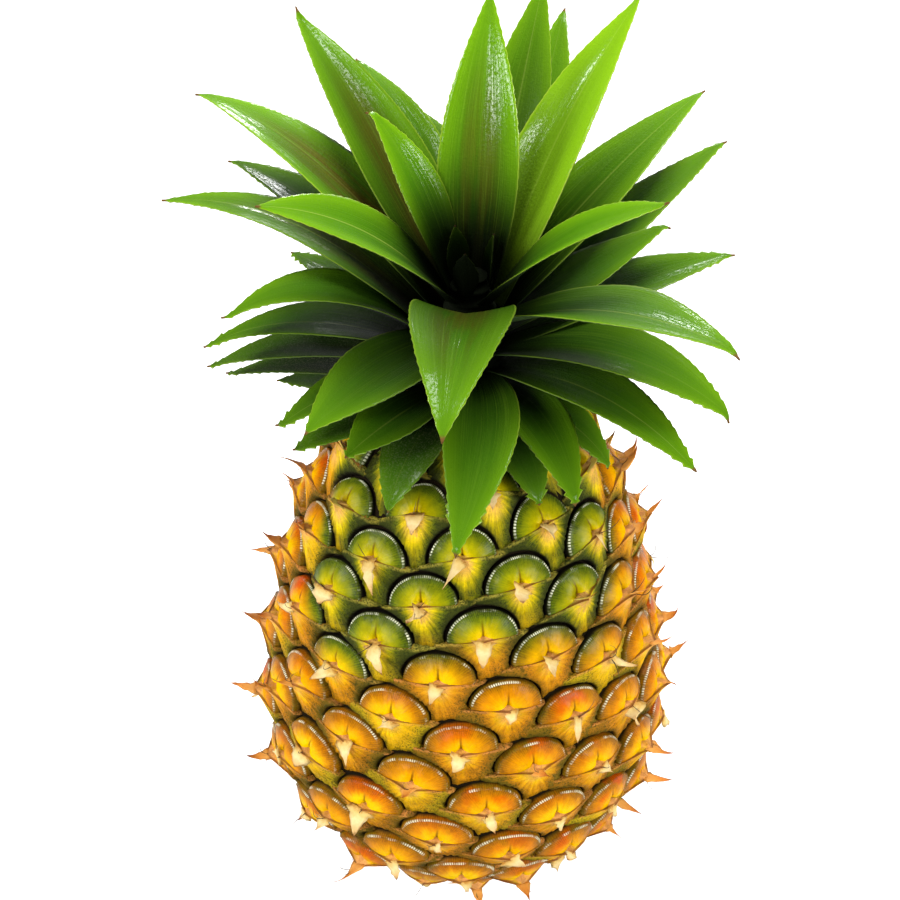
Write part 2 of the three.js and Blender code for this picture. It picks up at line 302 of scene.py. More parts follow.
# %% Sizes of a dome
DOME_HALF_WIDTH = 11.3
DOME_HEIGHT = 8.9
DOME_BELOW = 2.4
DOME_FOOT = -1.9
DOME_SQUARENESS = 2.1
DOME_RIM_HEIGHT = 1.7
DOME_SWELL = 2.6
DOME_BEAD = 0.3
DOME_BEAD_REACH = 0.92
DOME_ROLL = 2.7
DOME_ROLL_REACH = (0.93, 1.02)
DOME_DIMPLE = 1.2
DOME_CREASE = 0.45
DOME_TUCK = 1.6
DOME_END_Y = 2
DOME_END_HEIGHT = -3.0
DOME_UNEVENNESS = 0.05
NAVEL_ABOVE_FOOT = 1.4
DOME_RINGS = np.array([0.09, 0.17, 0.27, 0.38, 0.5, 0.62, 0.74, 0.83, 0.885, 0.92, 0.95, 0.98, 1.02])
DOME_SPOKES_ABOVE = 29
DOME_SPOKES_BELOW = 9
END_TURN = 0.25
print("a full dome is", 2 * DOME_HALF_WIDTH, "mm wide and", DOME_HEIGHT + DOME_BELOW, "mm high")

# %% Outline and relief of a dome
def dome_edge(direction):
    """Distance from the middle of its foot to the dome's edge: half an ellipse above, a low one below."""
    tall = np.where(np.sin(direction) >= 0, DOME_HEIGHT, DOME_BELOW)
    power = np.where(np.sin(direction) >= 0, DOME_SQUARENESS, 2.0)
    wide = (np.abs(np.cos(direction)) / DOME_HALF_WIDTH) ** power
    high = (np.abs(np.sin(direction)) / tall) ** power
    return (wide + high) ** (-1 / power)


def dome_height(x, y, reach):
    """Height over the groove: a low rim, swelling to the middle by one minus the square of the reach.

    reach is the share of the way from the middle of the foot to the edge. The navel is a small dimple, a
    crease runs up from it, the rim carries a low bead and rolls down into the groove, and the part below
    the foot passes under the bract.
    """
    above_navel = y - NAVEL_ABOVE_FOOT
    swell = DOME_RIM_HEIGHT + DOME_SWELL * (1 - reach**2)
    bead = DOME_BEAD * np.exp(-(((reach - DOME_BEAD_REACH) / 0.035) ** 2))
    roll = DOME_ROLL * smooth(*DOME_ROLL_REACH, reach)
    dimple = DOME_DIMPLE * np.exp(-(x**2 + above_navel**2) / 1.3)
    crease = DOME_CREASE * np.exp(-((x / 0.7) ** 2)) * (1 - smooth(0.35, 0.8, reach)) * (above_navel > 0)
    tuck = DOME_TUCK * smooth(0.3, 2.4, -y)
    return swell + bead - roll - dimple - crease - tuck


# %% Build the domes
above = np.linspace(0, np.pi, DOME_SPOKES_ABOVE)
below = np.linspace(np.pi, 2 * np.pi, DOME_SPOKES_BELOW + 2)[1:-1]
reach, direction = np.meshgrid(DOME_RINGS, np.concatenate([above, below]), indexing="ij")
edge = dome_edge(direction)
x = np.pad((reach * edge * np.cos(direction)).ravel(), 1)
y = np.pad((reach * edge * np.sin(direction)).ravel(), 1, constant_values=(0, DOME_END_Y))
reach = np.pad(reach.ravel(), 1, constant_values=(0, DOME_RINGS[-1]))
height = dome_height(x, y, reach)
height[-1] = DOME_END_HEIGHT
height = height * eye_plump[:, None] + seed.normal(0, DOME_UNEVENNESS, (EYE_COUNT, len(x)))
dome_points, _, _ = on_eye(x, y + DOME_FOOT, height)
domes = ringed_object(
    "eye_domes",
    dome_points,
    DOME_SPOKES_ABOVE + DOME_SPOKES_BELOW,
    {
        "reach": reach,
        "turn": np.pad(direction.ravel() / (2 * np.pi), 1, constant_values=END_TURN),
        "side": x / DOME_HALF_WIDTH,
        "ripe": ripeness(dome_points),
        "chance": eye_chance[:, None],
    },
)

# %% [markdown]
# ## The bracts
#
# A bract is a small leaf pressed against the fruit. Its upper edge is a lip that stands over the foot of
# its own dome, its middle is drawn out to a beak, and its ribbed face spreads down from there and sinks
# into the grooves around the domes below. It is again a disc of rings, this time about the beak. A bract
# of one fixed outline would cut through the domes next to it, so each spoke of the disc is stopped where
# the groove around another dome begins.

# %% Sizes of a bract
BRACT_LEFT = 17.0
BRACT_RIGHT = 21.0
BRACT_DROP = 16.0
BRACT_FADE = 14.0
BRACT_SIDE = 12.0
BRACT_UNEVENNESS = 0.04
LIP_THICKNESS = 0.8
LIP_LEVEL = -1.2
LIP_ARCH = 0.009
LIP_HEIGHT = 4.7
LIP_END_HEIGHT = 1.2
LIP_SPREAD = 10.0
LIP_INNER_FALL = 1.6
LIP_END_LENGTH = 5.0
BEAK_HEIGHT = 2.6
WORN_BEAK_HEIGHT = 0.8
BEAK_SPREAD = 2.4
GROOVE_EDGE = 0.25
GROOVE_FLOOR = -0.9
EDGE_SUNK = 0.45
EDGE_SKIRT = 0.5
BRACT_END_Y = -5
BRACT_END_HEIGHT = -2.9
RIB_COUNT = 15
RIB_HEIGHT = 0.3
BRACT_RINGS = np.array([0.06, 0.14, 0.23, 0.33, 0.44, 0.55, 0.66, 0.77, 0.87, 0.94, 1.0])
BRACT_SPOKES_BELOW = 39
BRACT_SPOKES_ABOVE = 8
SPOKE_SAMPLES = 48
NEIGHBOUR_STEPS = (-34, -21, -13, -8, -5, 5, 8, 13, 21, 34)
FAR_AWAY = 99.0

beak_height = np.where(eye_worn, WORN_BEAK_HEIGHT, BEAK_HEIGHT)
print("beaks from", beak_height.min(), "to", beak_height.max(), "mm high")

# %% Distance to the groove around the nearest dome
def groove_distance(length, angle):
    """Distance in millimetres from each point of each eye to the nearest dome of another eye.

    The other eyes worth asking are a few fixed steps along the spiral away. Each one's own x and y are
    worked out for the point, and the distance is how far it lies beyond that dome's edge.
    """
    nearest = np.full(length.shape, FAR_AWAY)
    for step in NEIGHBOUR_STEPS:
        other = eye + step
        real = (other >= 0) & (other < EYE_COUNT)
        other = np.clip(other, 0, EYE_COUNT - 1)[:, None]
        gap = (angle - eye_angle[other] + np.pi) % (2 * np.pi) - np.pi
        across = gap * eye_skin[other] / eye_wide[other] / MM
        along = (length - eye_length[other]) / eye_tall[other] / MM
        x, y = leaned(across, along, -eye_lean[other])
        y = y - DOME_FOOT
        beyond = np.hypot(x, y) - dome_edge(np.arctan2(y, x))
        nearest = np.where(real[:, None], np.minimum(nearest, beyond), nearest)
    return nearest


# %% Outline and relief of a bract
def lip_line(x):
    """The lip's level across the eye: an arch, which runs on level past the eye's right-hand side."""
    return LIP_LEVEL - LIP_ARCH * np.minimum(x, BRACT_SIDE) ** 2


def bract_height(x, depth, direction):
    """Height of the face over the groove: a ridge along the lip, times what is left of the way down.

    The ridge is high in the middle, low at both ends and runs out over their last few millimetres. The
    beak is added as a peak that dies away by distance, lower where it is worn, and the ribs are a cosine
    of the direction from it.
    """
    ridge = LIP_END_HEIGHT + (LIP_HEIGHT - LIP_END_HEIGHT) * np.exp(-((np.abs(x) / LIP_SPREAD) ** 2.6))
    ridge = ridge * smooth(0, LIP_END_LENGTH, x + BRACT_LEFT) * smooth(0, LIP_END_LENGTH, BRACT_RIGHT - x)
    face = ridge * np.clip(1 - np.maximum(depth, 0) / BRACT_FADE, 0, 1)
    beak = beak_height[:, None, None] * np.exp(-np.hypot(x, depth) / BEAK_SPREAD)
    ribs = RIB_HEIGHT * np.cos(2 * RIB_COUNT * direction) * smooth(1, 5, depth) * smooth(0, 0.6, face)
    return face + beak + ribs


def open_share(direction, edge):
    """Share of each spoke, from the beak outwards, that lies clear of the grooves around other domes.

    The distance to the nearest dome is sampled along the spoke, and the first place where it falls below
    the groove's edge is found by a straight line between the samples on either side.
    """
    share = np.linspace(0, 1, SPOKE_SAMPLES)
    x = share * (edge * np.cos(direction))[:, None]
    y = lip_line(x) + share * (edge * np.sin(direction))[:, None]
    _, length, angle = on_eye(x.ravel(), y.ravel(), 0)
    gap = groove_distance(length, angle).reshape(EYE_COUNT, *x.shape) - GROOVE_EDGE
    closed = gap < 0
    first = np.maximum(np.argmax(closed, -1), 1)
    after = np.take_along_axis(gap, first[..., None], -1)[..., 0]
    before = np.take_along_axis(gap, first[..., None] - 1, -1)[..., 0]
    part = np.clip(before / np.maximum(before - after, 1e-6), 0, 1)
    return np.where(closed.any(-1), (first - 1 + part) / (SPOKE_SAMPLES - 1), 1.0)


# %% Build the bracts
below = np.linspace(-np.pi, 0, BRACT_SPOKES_BELOW)
above = np.linspace(0, np.pi, BRACT_SPOKES_ABOVE + 2)[1:-1]
direction = np.concatenate([below, above])
tall = np.where(np.sin(direction) > 1e-9, LIP_THICKNESS, BRACT_DROP)
half = np.where(np.cos(direction) > 0, BRACT_RIGHT, BRACT_LEFT)
edge = 1 / np.hypot(np.cos(direction) / half, np.sin(direction) / tall)
share = BRACT_RINGS[:, None] * open_share(direction, edge)[:, None]
share = np.concatenate([share, share[:, -1:] + EDGE_SKIRT / edge], 1)
spread = share * edge
depth = -spread * np.sin(direction)
over_lip = np.clip(-depth / LIP_THICKNESS, 0, 1)
x = spread * np.cos(direction)
y = lip_line(x) - depth
height = bract_height(x, depth, direction) - LIP_INNER_FALL * over_lip**1.6
height[:, -2] = mixed(EDGE_SUNK, height[:, -2], GROOVE_FLOOR)
height[:, -1] = GROOVE_FLOOR


def with_ends(values, first, last):
    """Rings of values of every eye as one row for each, with a first and a last value."""
    rows = np.broadcast_to(values, spread.shape).reshape(EYE_COUNT, -1)
    return np.pad(rows, ((0, 0), (1, 1)), constant_values=((0, 0), (first, last)))


height = with_ends(height, 0, BRACT_END_HEIGHT)
height[:, 0] = LIP_HEIGHT + beak_height
height = height * eye_plump[:, None] + seed.normal(0, BRACT_UNEVENNESS, height.shape)
y = with_ends(y, LIP_LEVEL, BRACT_END_Y)
bract_points, bract_length, bract_angle = on_eye(with_ends(x, 0, 0), y, height)
bracts = ringed_object(
    "eye_bracts",
    bract_points,
    len(direction),
    {
        "reach": with_ends(spread / BRACT_DROP, 0, 1),
        "turn": with_ends(direction / (2 * np.pi) + 0.5, END_TURN, END_TURN),
        "side": with_ends(x / BRACT_SIDE, 0, 0),
        "depth": with_ends(depth, 0, 0),
        "gap": groove_distance(bract_length, bract_angle),
        "lip": with_ends(over_lip, 0, 0),
        "ripe": ripeness(bract_points),
        "chance": eye_chance[:, None],
    },
)

# %% [markdown]
# ## The papery tips
#
# The beak of every bract ends in a dry, thin, cream-coloured point. Handling bends them: those on the
# worn front mostly fold down or aside, while those on the flanks still reach out and curl upwards. Each
# leans to one side by its own amount, and is a flattened, tapering blade along a curved line. A flat card
# with a torn edge painted on it would do from afar, but a closed blade of a few dozen faces also keeps
# its shape from the side.

# %% Sizes of the tips
# Of each pair below, the first is for the worn eyes and the second for the fresh ones. A pair of a mean
# and a spread is a seeded chance.
TIP_STEPS = 8
TIP_AROUND = 6
TIP_LENGTH = (5.6, 8.2)
TIP_LENGTH_CHANCE = ((1, 0.42), (1, 0.2))
TIP_HALF_WIDTH = (2.9, 2.4)
TIP_WIDTH_CHANCE = ((1, 0.28), (1, 0.15))
TIP_TAPER = (0.75, 1.35)
TIP_DEPTH = (0.6, 1.8)
TIP_LEAN = (95, 40)
TIP_TILT = ((-56, 14), (16, 13))
TIP_CURL = ((-4, 42), (40, 45))
TIP_YAW = ((0, 55), (0, 20))
TIP_TWIST = ((0, 80), (0, 40))
TIP_HALF_THICKNESS = 0.24
TIP_LEVEL = LIP_LEVEL + 0.2
LEAN_SHUFFLE = 13
RAGGEDNESS = 0.15
THINNEST_SHARE = 0.02

# %% Chance by wear
def by_wear(pair):
    """The first of a pair for each worn eye, and the second for each fresh one."""
    return np.where(eye_worn, *pair)


def chance_by_wear(pair, low=-np.inf, high=np.inf):
    """A seeded number for each eye, kept within two limits."""
    return np.clip(by_wear([seed.normal(*chance, EYE_COUNT) for chance in pair]), low, high)


# %% Directions and lines
def unit(vectors):
    """The same directions, each one long."""
    return vectors / np.linalg.norm(vectors, axis=-1, keepdims=True)


def level_aside(angle):
    """Level directions a quarter turn round from a compass angle."""
    return np.stack([-np.sin(angle), np.cos(angle), np.zeros_like(angle)], -1)


def walked(steps):
    """Lines of points, each a running sum of steps from nothing."""
    return np.concatenate([np.zeros_like(steps[:, :1]), np.cumsum(steps, 1)], 1)


def closed_about(middle, rings):
    """Points of closed shapes: the start of a middle line, the rings about it, and its end."""
    return np.concatenate([middle[:, :1], rings.reshape(len(middle), -1, 3), middle[:, -1:]], 1)


# %% Blades
def blades(start, frame_of, bend, sizes, steps, around):
    """Curved tapering blades, one for each start point, as points in rings, with each ring's share along.

    frame_of is the directions out, side and up at each start, bend the angles tilt, curl, yaw and twist,
    and sizes the length, half width, half thickness and taper. The line leaves along out turned by tilt
    towards up and by yaw towards side, and its tilt grows by curl towards the end. Each ring is an
    ellipse, wide along side and thin across, that shrinks by the taper's power of what is left of the
    line, unevenly, and turns about the line by twist. Nothing goes below the ground.
    """
    out, side, up = (direction[:, None] for direction in frame_of)
    tilt, curl, yaw, twist = (angle[:, None] for angle in bend)
    length, half_width, half_thickness, taper = (
        np.broadcast_to(size, len(start))[:, None] for size in sizes
    )
    s = np.linspace(0, 1, steps + 1)
    pitch = (tilt + curl * s**1.5)[..., None]
    heading = (yaw * s**0.5)[..., None]
    along = (
        np.cos(pitch) * np.cos(heading) * out
        + np.cos(pitch) * np.sin(heading) * side
        + np.sin(pitch) * up
    )
    middle = start[:, None] + walked(along[:, :-1]) * (length[..., None] / steps)
    flat_across = unit(np.cross(along, up * np.cos(pitch) - out * np.sin(pitch)))
    rolled = (twist * s)[..., None]
    across = flat_across * np.cos(rolled) + np.cross(flat_across, along) * np.sin(rolled)
    left = np.maximum(1 - s, THINNEST_SHARE) ** taper
    left = left * seed.normal(1, RAGGEDNESS, left.shape).clip(0.6, 1.4)
    turn = np.linspace(0, 2 * np.pi, around, endpoint=False)
    wide = (half_width * left)[..., None] * np.cos(turn)
    thick = (half_thickness * left**0.5)[..., None] * np.sin(turn)
    ring = wide[..., None] * across[:, :, None] + thick[..., None] * np.cross(across, along)[:, :, None]
    points = closed_about(middle, middle[:, :, None] + ring)
    points[..., 2] = np.maximum(points[..., 2], 0)
    return points, np.pad(np.repeat(s, around), 1, constant_values=(0, 1))


# %% Place of the tips
tip_height = ((LIP_HEIGHT + beak_height) * eye_plump - by_wear(TIP_DEPTH))[:, None]
tip_start = on_eye(0, TIP_LEVEL, tip_height)[0][:, 0]
tip_out = unit(tip_start - on_eye(0, TIP_LEVEL, 0)[0][:, 0])
tip_level = unit(level_aside(eye_angle))
tip_rise = unit(np.cross(tip_out, tip_level))
tip_lean = np.radians(by_wear(TIP_LEAN) * (LEAN_SHUFFLE * eye_chance % 1 - 0.5))[:, None]
tip_side = tip_level * np.cos(tip_lean) + tip_rise * np.sin(tip_lean)
tip_up = tip_rise * np.cos(tip_lean) - tip_level * np.sin(tip_lean)

# %% Build the tips
tip_bend = [np.radians(chance_by_wear(pair)) for pair in (TIP_TILT, TIP_CURL, TIP_YAW, TIP_TWIST)]
tip_length = chance_by_wear(TIP_LENGTH_CHANCE, 0.5, 2.0) * by_wear(TIP_LENGTH) * MM
tip_width = chance_by_wear(TIP_WIDTH_CHANCE, 0.45, 1.5) * by_wear(TIP_HALF_WIDTH) * MM
tip_sizes = (tip_length, tip_width, TIP_HALF_THICKNESS * MM, by_wear(TIP_TAPER))
tip_points, tip_share = blades(
    tip_start, (tip_out, tip_side, tip_up), tip_bend, tip_sizes, TIP_STEPS, TIP_AROUND
)
tips = ringed_object(
    "bract_tips",
    tip_points,
    TIP_AROUND,
    {"reach": tip_share, "ripe": ripeness(tip_points), "worn": eye_worn[:, None]},
)

# %% [markdown]
# ## The flesh in the grooves
#
# Between the eyes a little of the body itself shows, deep and dark. It is the outline of the skin, moved
# in by the depth of the eyes and turned about the axis, with a flat foot and a socket for the cut stalk.
# The cut stalk and the crown's stem, with its rings of leaf scars, are turned in the same way. Blender's
# Screw modifier turns a profile too, but rings of points close both ends without a seam.

# %% Turned bodies
def turned(name, radii, heights, around):
    """A closed body of revolution: rings of the given radii and heights, from the axis to the axis."""
    turn = np.linspace(0, 2 * np.pi, around, endpoint=False)
    rings = round_axis(radii[1:-1, None], turn, heights[1:-1, None])
    axis = round_axis(0, 0, heights)[None]
    return ringed_object(name, closed_about(axis, rings), around, turned_over=True)


# %% Build the core
SOCKET_RADIUS = 13.3 * MM
SOCKET_DEPTH = 9.3 * MM
CORE_AROUND = 96
CORE_STEPS = 70

core_heights = np.linspace(0, FRUIT_HEIGHT, CORE_STEPS)
core_radii = skin_radius(core_heights) - EYE_RELIEF * MM
core = turned(
    "fruit_core",
    np.concatenate([[0, SOCKET_RADIUS, SOCKET_RADIUS], core_radii, [0]]),
    np.concatenate([[SOCKET_DEPTH, SOCKET_DEPTH, 0], core_heights, [FRUIT_HEIGHT]]),
    CORE_AROUND,
)

# %% Build the cut stalk
STALK_RADIUS = 13 * MM
STALK_HEIGHT = 9 * MM
STALK_ROUNDING = 0.5 * MM
STALK_AROUND = 64

stalk = turned(
    "cut_stalk_end",
    np.array([0, 0.35, 0.7, 0.96, 1, 1, 0]) * STALK_RADIUS,
    np.array([0, 0, 0, 0, STALK_ROUNDING, STALK_HEIGHT, STALK_HEIGHT]),
    STALK_AROUND,
)

# %% Build the crown's stem
STEM_HEIGHTS = np.array([156.3, 162, 172, 185, 196]) * MM
STEM_RADII = np.array([17, 13.5, 10.5, 7.5, 4.5]) * MM
STEM_SCARS = 13
STEM_SCAR_DEPTH = 0.45 * MM
STEM_STEPS = 90
STEM_AROUND = 40

stem_heights = np.linspace(STEM_HEIGHTS[0], STEM_HEIGHTS[-1], STEM_STEPS)
stem_scars = STEM_SCAR_DEPTH * np.cos(np.linspace(0, 2 * np.pi * STEM_SCARS, STEM_STEPS))
stem_radii = np.interp(stem_heights, STEM_HEIGHTS, STEM_RADII) - STEM_SCAR_DEPTH + stem_scars
stem = turned(
    "crown_stem_scarred",
    np.pad(stem_radii, 1),
    np.pad(stem_heights, 1, "edge"),
    STEM_AROUND,
)

# %% [markdown]
# ## The hairs
#
# A few bracts keep a stiff dark hair or two, the last of the flower that once grew from the eye. They are
# the same tapering blades as the papery tips, only hair-thin, and curled much further. Blender has hair
# of its own, but that isn't a mesh, and so few of them need no more than thin blades.

# %% Build the hairs
HAIR_COUNT = 110
HAIR_LENGTH = 6.0
HAIR_LENGTH_SPREAD = 0.25
HAIR_HALF_THICKNESS = 0.13 * MM
HAIR_TAPER = 0.6
HAIR_BEND = (5, 90, 0, 0)
HAIR_BEND_SPREAD = (30, 60, 45, 0)
HAIR_ROOT_SPREAD = 0.3 * MM
HAIR_STEPS = 9
HAIR_AROUND = 4

hair_eye = seed.integers(0, EYE_COUNT, HAIR_COUNT)
hair_bend = np.radians(seed.normal(HAIR_BEND, HAIR_BEND_SPREAD, (HAIR_COUNT, 4))).T
hair_frame = (tip_out[hair_eye], tip_side[hair_eye], tip_up[hair_eye])
hair_start = tip_start[hair_eye] + tip_side[hair_eye] * seed.normal(0, HAIR_ROOT_SPREAD, (HAIR_COUNT, 1))
hair_length = HAIR_LENGTH * MM * np.clip(seed.normal(1, HAIR_LENGTH_SPREAD, HAIR_COUNT), 0.5, 1.5)
hair_sizes = (hair_length, HAIR_HALF_THICKNESS, HAIR_HALF_THICKNESS, HAIR_TAPER)
hair_points, hair_share = blades(hair_start, hair_frame, hair_bend, hair_sizes, HAIR_STEPS, HAIR_AROUND)
hairs = ringed_object("bract_hairs", hair_points, HAIR_AROUND, {"reach": hair_share})

# %% [markdown]
# ## The crown leaves
#
# A crown leaf is a stiff strap that leaves the stem, arches outwards and comes to a hooked, dry point. It
# is channelled, so that rain runs down to the heart. Its middle line is walked from the root with a slope
# that turns steadily, and at each step a shallow U is drawn across it. Fine saw teeth edge its outer half.
# Flat straps could be bent along curves drawn by hand, one for each leaf, but one row of numbers for each
# is easier to read and to change.
#
# The first number of each row below is the compass angle that the leaf faces, then the height of its root
# on the stem, its slopes at root and tip, its length and width, its sideways sweep and its twist. The
# last two are for its finish: how much painted shade darkens it (below 0, how much painted light
# brightens it), and how brown along its middle.

# %% Leaves from the heart outwards
LEAVES = np.array([
    (-105, 193, 89, 84, 12, 7, 0, 0, 0.3, 0),
    (15, 193, 89, 84, 14, 8, 0, 0, 0.3, 0),
    (135, 193, 89, 84, 15, 8, 0, 0, 0.3, 0),
    (160, 192, 75, 43, 51, 14, 0, -25, 0.1, 0),
    (81, 189, 82, 64, 76, 21, 0, 0, 0, 0.5),
    (-156, 190, 52, 6, 63, 19, 0, -28, 0.1, 0),
    (-38, 190, 52, 21, 67, 15, 0, 30, 0.1, 0),
    (130, 188, 48, 25, 90, 22, 0, 0, 0.4, 0.7),
    (40, 185, 66, 40, 88, 22, 0, 0, -0.35, 0),
    (68, 185, 62, 50, 86, 21, 4, 0, 0.4, 0.2),
    (-93, 185, 41, -41, 81, 25, -4, 0, 0.65, 0.7),
    (112, 184, 46, 4, 85, 20, 6, 0, 0.4, 0.1),
    (150, 184, 46, 0, 92, 22, 0, 0, 0.1, 0.9),
    (-48, 184, 34, -3, 87, 24, -2, 0, 0.45, 0),
    (37, 182, 40, 18, 86, 22, 2, 0, 0.15, 0.1),
    (64, 181, 50, 38, 89, 20, 12, 0, 0.4, 0),
    (100, 181, 44, -6, 74, 20, 8, 0, 0.6, 0),
    (-130, 180, 6, -20, 53, 23, -2, 0, 0.78, 0.1),
    (12, 179, 31, 31, 52, 19, 2, 0, 0.6, 0),
    (167, 178, 44, -18, 84, 20, 0, 0, 0.4, 0.5),
    (148, 178, 38, 0, 77, 20, 2, 0, 0.7, 0),
    (30, 177, 31, 24, 82, 20, 2, 0, 0.3, 0),
    (-171, 177, 44, -52, 62, 18, 0, 0, 0.65, 0),
    (-31, 176, 23, -36, 69, 24, -2, 0, 0.6, 0),
    (8, 175, 27, 9, 65, 22, 0, 0, 0.6, 0),
    (145, 174, 14, -3, 54, 18, -5, 0, 0.7, 0),
    (-176, 173, 25, -40, 63, 17, -2, 0, 0.75, 0),
    (-41, 172, 16, -38, 65, 20, 0, 0, 0.55, 0),
    (-83, 172, 11, -46, 67, 19, -28, 0, 0.5, 0),
    (46, 171, 16, -28, 62, 18, 0, 0, 0.5, 0),
    (76, 171, 18, -32, 66, 18, 0, 0, 0.5, 0),
    (108, 171, 16, -30, 62, 18, 0, 0, 0.5, 0),
    (178, 169, 12, -37, 62, 16, -5, 0, 0.85, 0.3),
    (-60, 169, 12, -60, 49, 17, -6, 0, 0.6, 0),
    (-154, 168, 11, -40, 45, 16, 0, 0, 0.8, 0),
    (174, 165, 4, -27, 56, 15, -4, 0, 0.92, 0.3),
    (-133, 165, 0, -26, 33, 19, -5, 0, 0.75, 0),
    (-33, 163, 3, -62, 35, 15, 0, 0, 0.65, 0),
    (172, 161, -3, -10, 40, 15, -4, 0, 0.85, 0),
    (-119, 162, -4, -66, 35, 16, 4, 0, 0.84, 0),
    (-152, 161, 1, -26, 38, 16, -3, 0, 0.85, 0),
    (-86, 161, 0, -56, 33, 15, -12, 0, 0.75, 0),
    (-60, 160, -11, -66, 28, 14, -3, 0, 0.8, 0),
    (-5, 163, 4, -56, 39, 15, 0, 0, 0.5, 0),
    (26, 163, 3, -54, 39, 15, 0, 0, 0.5, 0),
    (60, 162, -2, -60, 37, 15, 0, 0, 0.5, 0),
    (93, 164, 1, -56, 39, 15, 0, 0, 0.5, 0),
    (126, 162, -2, -58, 37, 15, 0, 0, 0.5, 0),
])
facing, root_height, rise, fall, long, wide, sweep, roll, shade, tint = LEAVES.T[..., None]
LEAF_COUNT = len(LEAVES)
print(LEAF_COUNT, "leaves, from", long.min(), "to", long.max(), "mm long")

# %% Sizes of a leaf
LEAF_STEPS = 84
LEAF_COLUMNS = 15
LEAF_BEND_POWER = 1.3
LEAF_BEND_STEP = 11
LEAF_FEWEST_BENDS = 5
LEAF_WIDEST_AT = 0.4
LEAF_BASE_SHARE = 0.5
LEAF_CHANNEL = 0.3
LEAF_FLATTENING = 0.6
LEAF_TIP_HALF_WIDTH = 0.14
LEAF_MID_THICKNESS = 1.1
LEAF_EDGE_THICKNESS = 0.36
LEAF_THINNING = 0.45
LEAF_FOLD_DEPTH = 0.16
LEAF_FOLD_WIDTH = 0.07
LEAF_FULL_LENGTH = 90
TOOTH_SPACING = 2.7
TOOTH_HEIGHT = 0.3
LOW_TOOTH_HEIGHT = 1.5
TOOTH_POINT = 1.7
TOOTH_SHUFFLE = 5
RIPPLE_HEIGHT = 0.35
RIPPLE_LENGTH = 9
HOOK_FROM = 0.93
HOOK_SPREAD = 24
HIGH_ROOT = 183
LOW_ROOT = 173

leaf_chance = seed.random(LEAF_COUNT)
leaf_phase = seed.uniform(0, 2 * np.pi, (LEAF_COUNT, 1))
leaf_hook = seed.normal(0, HOOK_SPREAD, (LEAF_COUNT, 1))

# %% Width and middle line of a leaf
def leaf_width_share(s):
    """Share of the greatest width: a quarter sine up from the base, then a quarter cosine to the tip."""
    widening = LEAF_BASE_SHARE + (1 - LEAF_BASE_SHARE) * np.sin(s / LEAF_WIDEST_AT * np.pi / 2)
    narrowing = np.cos((s - LEAF_WIDEST_AT) / (1 - LEAF_WIDEST_AT) * np.pi / 2)
    return np.where(s < LEAF_WIDEST_AT, widening, np.clip(narrowing, 0, 1))


def leaf_frames(s):
    """Middle line of each leaf in millimetres, with its directions along, across and out of the channel.

    The slope goes from rise to fall by a power of the way along and the compass angle by the sweep,
    and the dry end hooks. The line is the running sum of the directions. The twist grows with the root of
    the way along and turns the leaf about its own line.
    """
    lag = 0.5 / np.maximum(np.round(long / LEAF_BEND_STEP), LEAF_FEWEST_BENDS)
    bent = np.maximum(s - lag, 0)
    slope = np.radians(rise + (fall - rise) * bent**LEAF_BEND_POWER + leaf_hook * smooth(HOOK_FROM, 1, s))
    angle = np.radians(facing + sweep * bent)
    along = round_axis(np.cos(slope), angle, np.sin(slope))
    twist = np.radians(roll * np.sqrt(s))[..., None]
    level = level_aside(angle)
    across = level * np.cos(twist) + np.cross(along, level) * np.sin(twist)
    root = np.interp(root_height, STEM_HEIGHTS / MM, STEM_RADII / MM)
    start = round_axis(root, angle[:, :1], root_height)
    middle = start + walked(0.5 * (along[:, 1:] + along[:, :-1]) * (long / LEAF_STEPS)[..., None])
    return middle, along, across, np.cross(along, across)


s = np.linspace(0, 1, LEAF_STEPS + 1)
column = np.linspace(-1, 1, LEAF_COLUMNS)
column = mixed(0.5, np.sin(column * np.pi / 2), column)
middle, along, across, inner = leaf_frames(s)
distance = s * long
share = leaf_width_share(s)
half = np.maximum(wide / 2 * share, LEAF_TIP_HALF_WIDTH)[..., None]

# %% Teeth, channel and thickness of the leaves
# Each tooth starts at its full height and falls away by a power of what is left of the way to the next.
# The channel is the distance from the middle to the power 1.5, times a share of the half width, and
# flattens towards the tip. A sine along the leaf lifts one edge while it lowers the other, a narrow fold
# follows the middle, and the thickness falls by the square of the distance from the middle.
tooth = distance / TOOTH_SPACING + leaf_phase
uneven = 0.6 + 0.4 * np.sin(TOOTH_SHUFFLE * np.floor(tooth))
low_end = smooth(HIGH_ROOT, LOW_ROOT, root_height) * smooth(0.7, 0.9, s)
saw = mixed(low_end, TOOTH_HEIGHT, LOW_TOOTH_HEIGHT * uneven)
saw = saw * (1 - tooth % 1) ** TOOTH_POINT * smooth(0.3, 0.6, s) * (1 - smooth(0.96, 1, s))
x = half * column + (saw[..., None] * np.sign(column)) * (np.abs(column) > 0.999)

way = s[:, None]
ripple = RIPPLE_HEIGHT * np.sin(distance / RIPPLE_LENGTH + leaf_phase) * smooth(0.1, 0.5, s) * share
channel = LEAF_CHANNEL * half * (1 - LEAF_FLATTENING * way) * np.abs(column) ** 1.5
fold = LEAF_FOLD_DEPTH * np.exp(-((column / LEAF_FOLD_WIDTH) ** 2)) * (1 - way)
lift = channel + ripple[..., None] * np.sign(column) * column**2 - fold
thick = mixed(column**2, LEAF_MID_THICKNESS, LEAF_EDGE_THICKNESS) * (1 - LEAF_THINNING * way) / 2

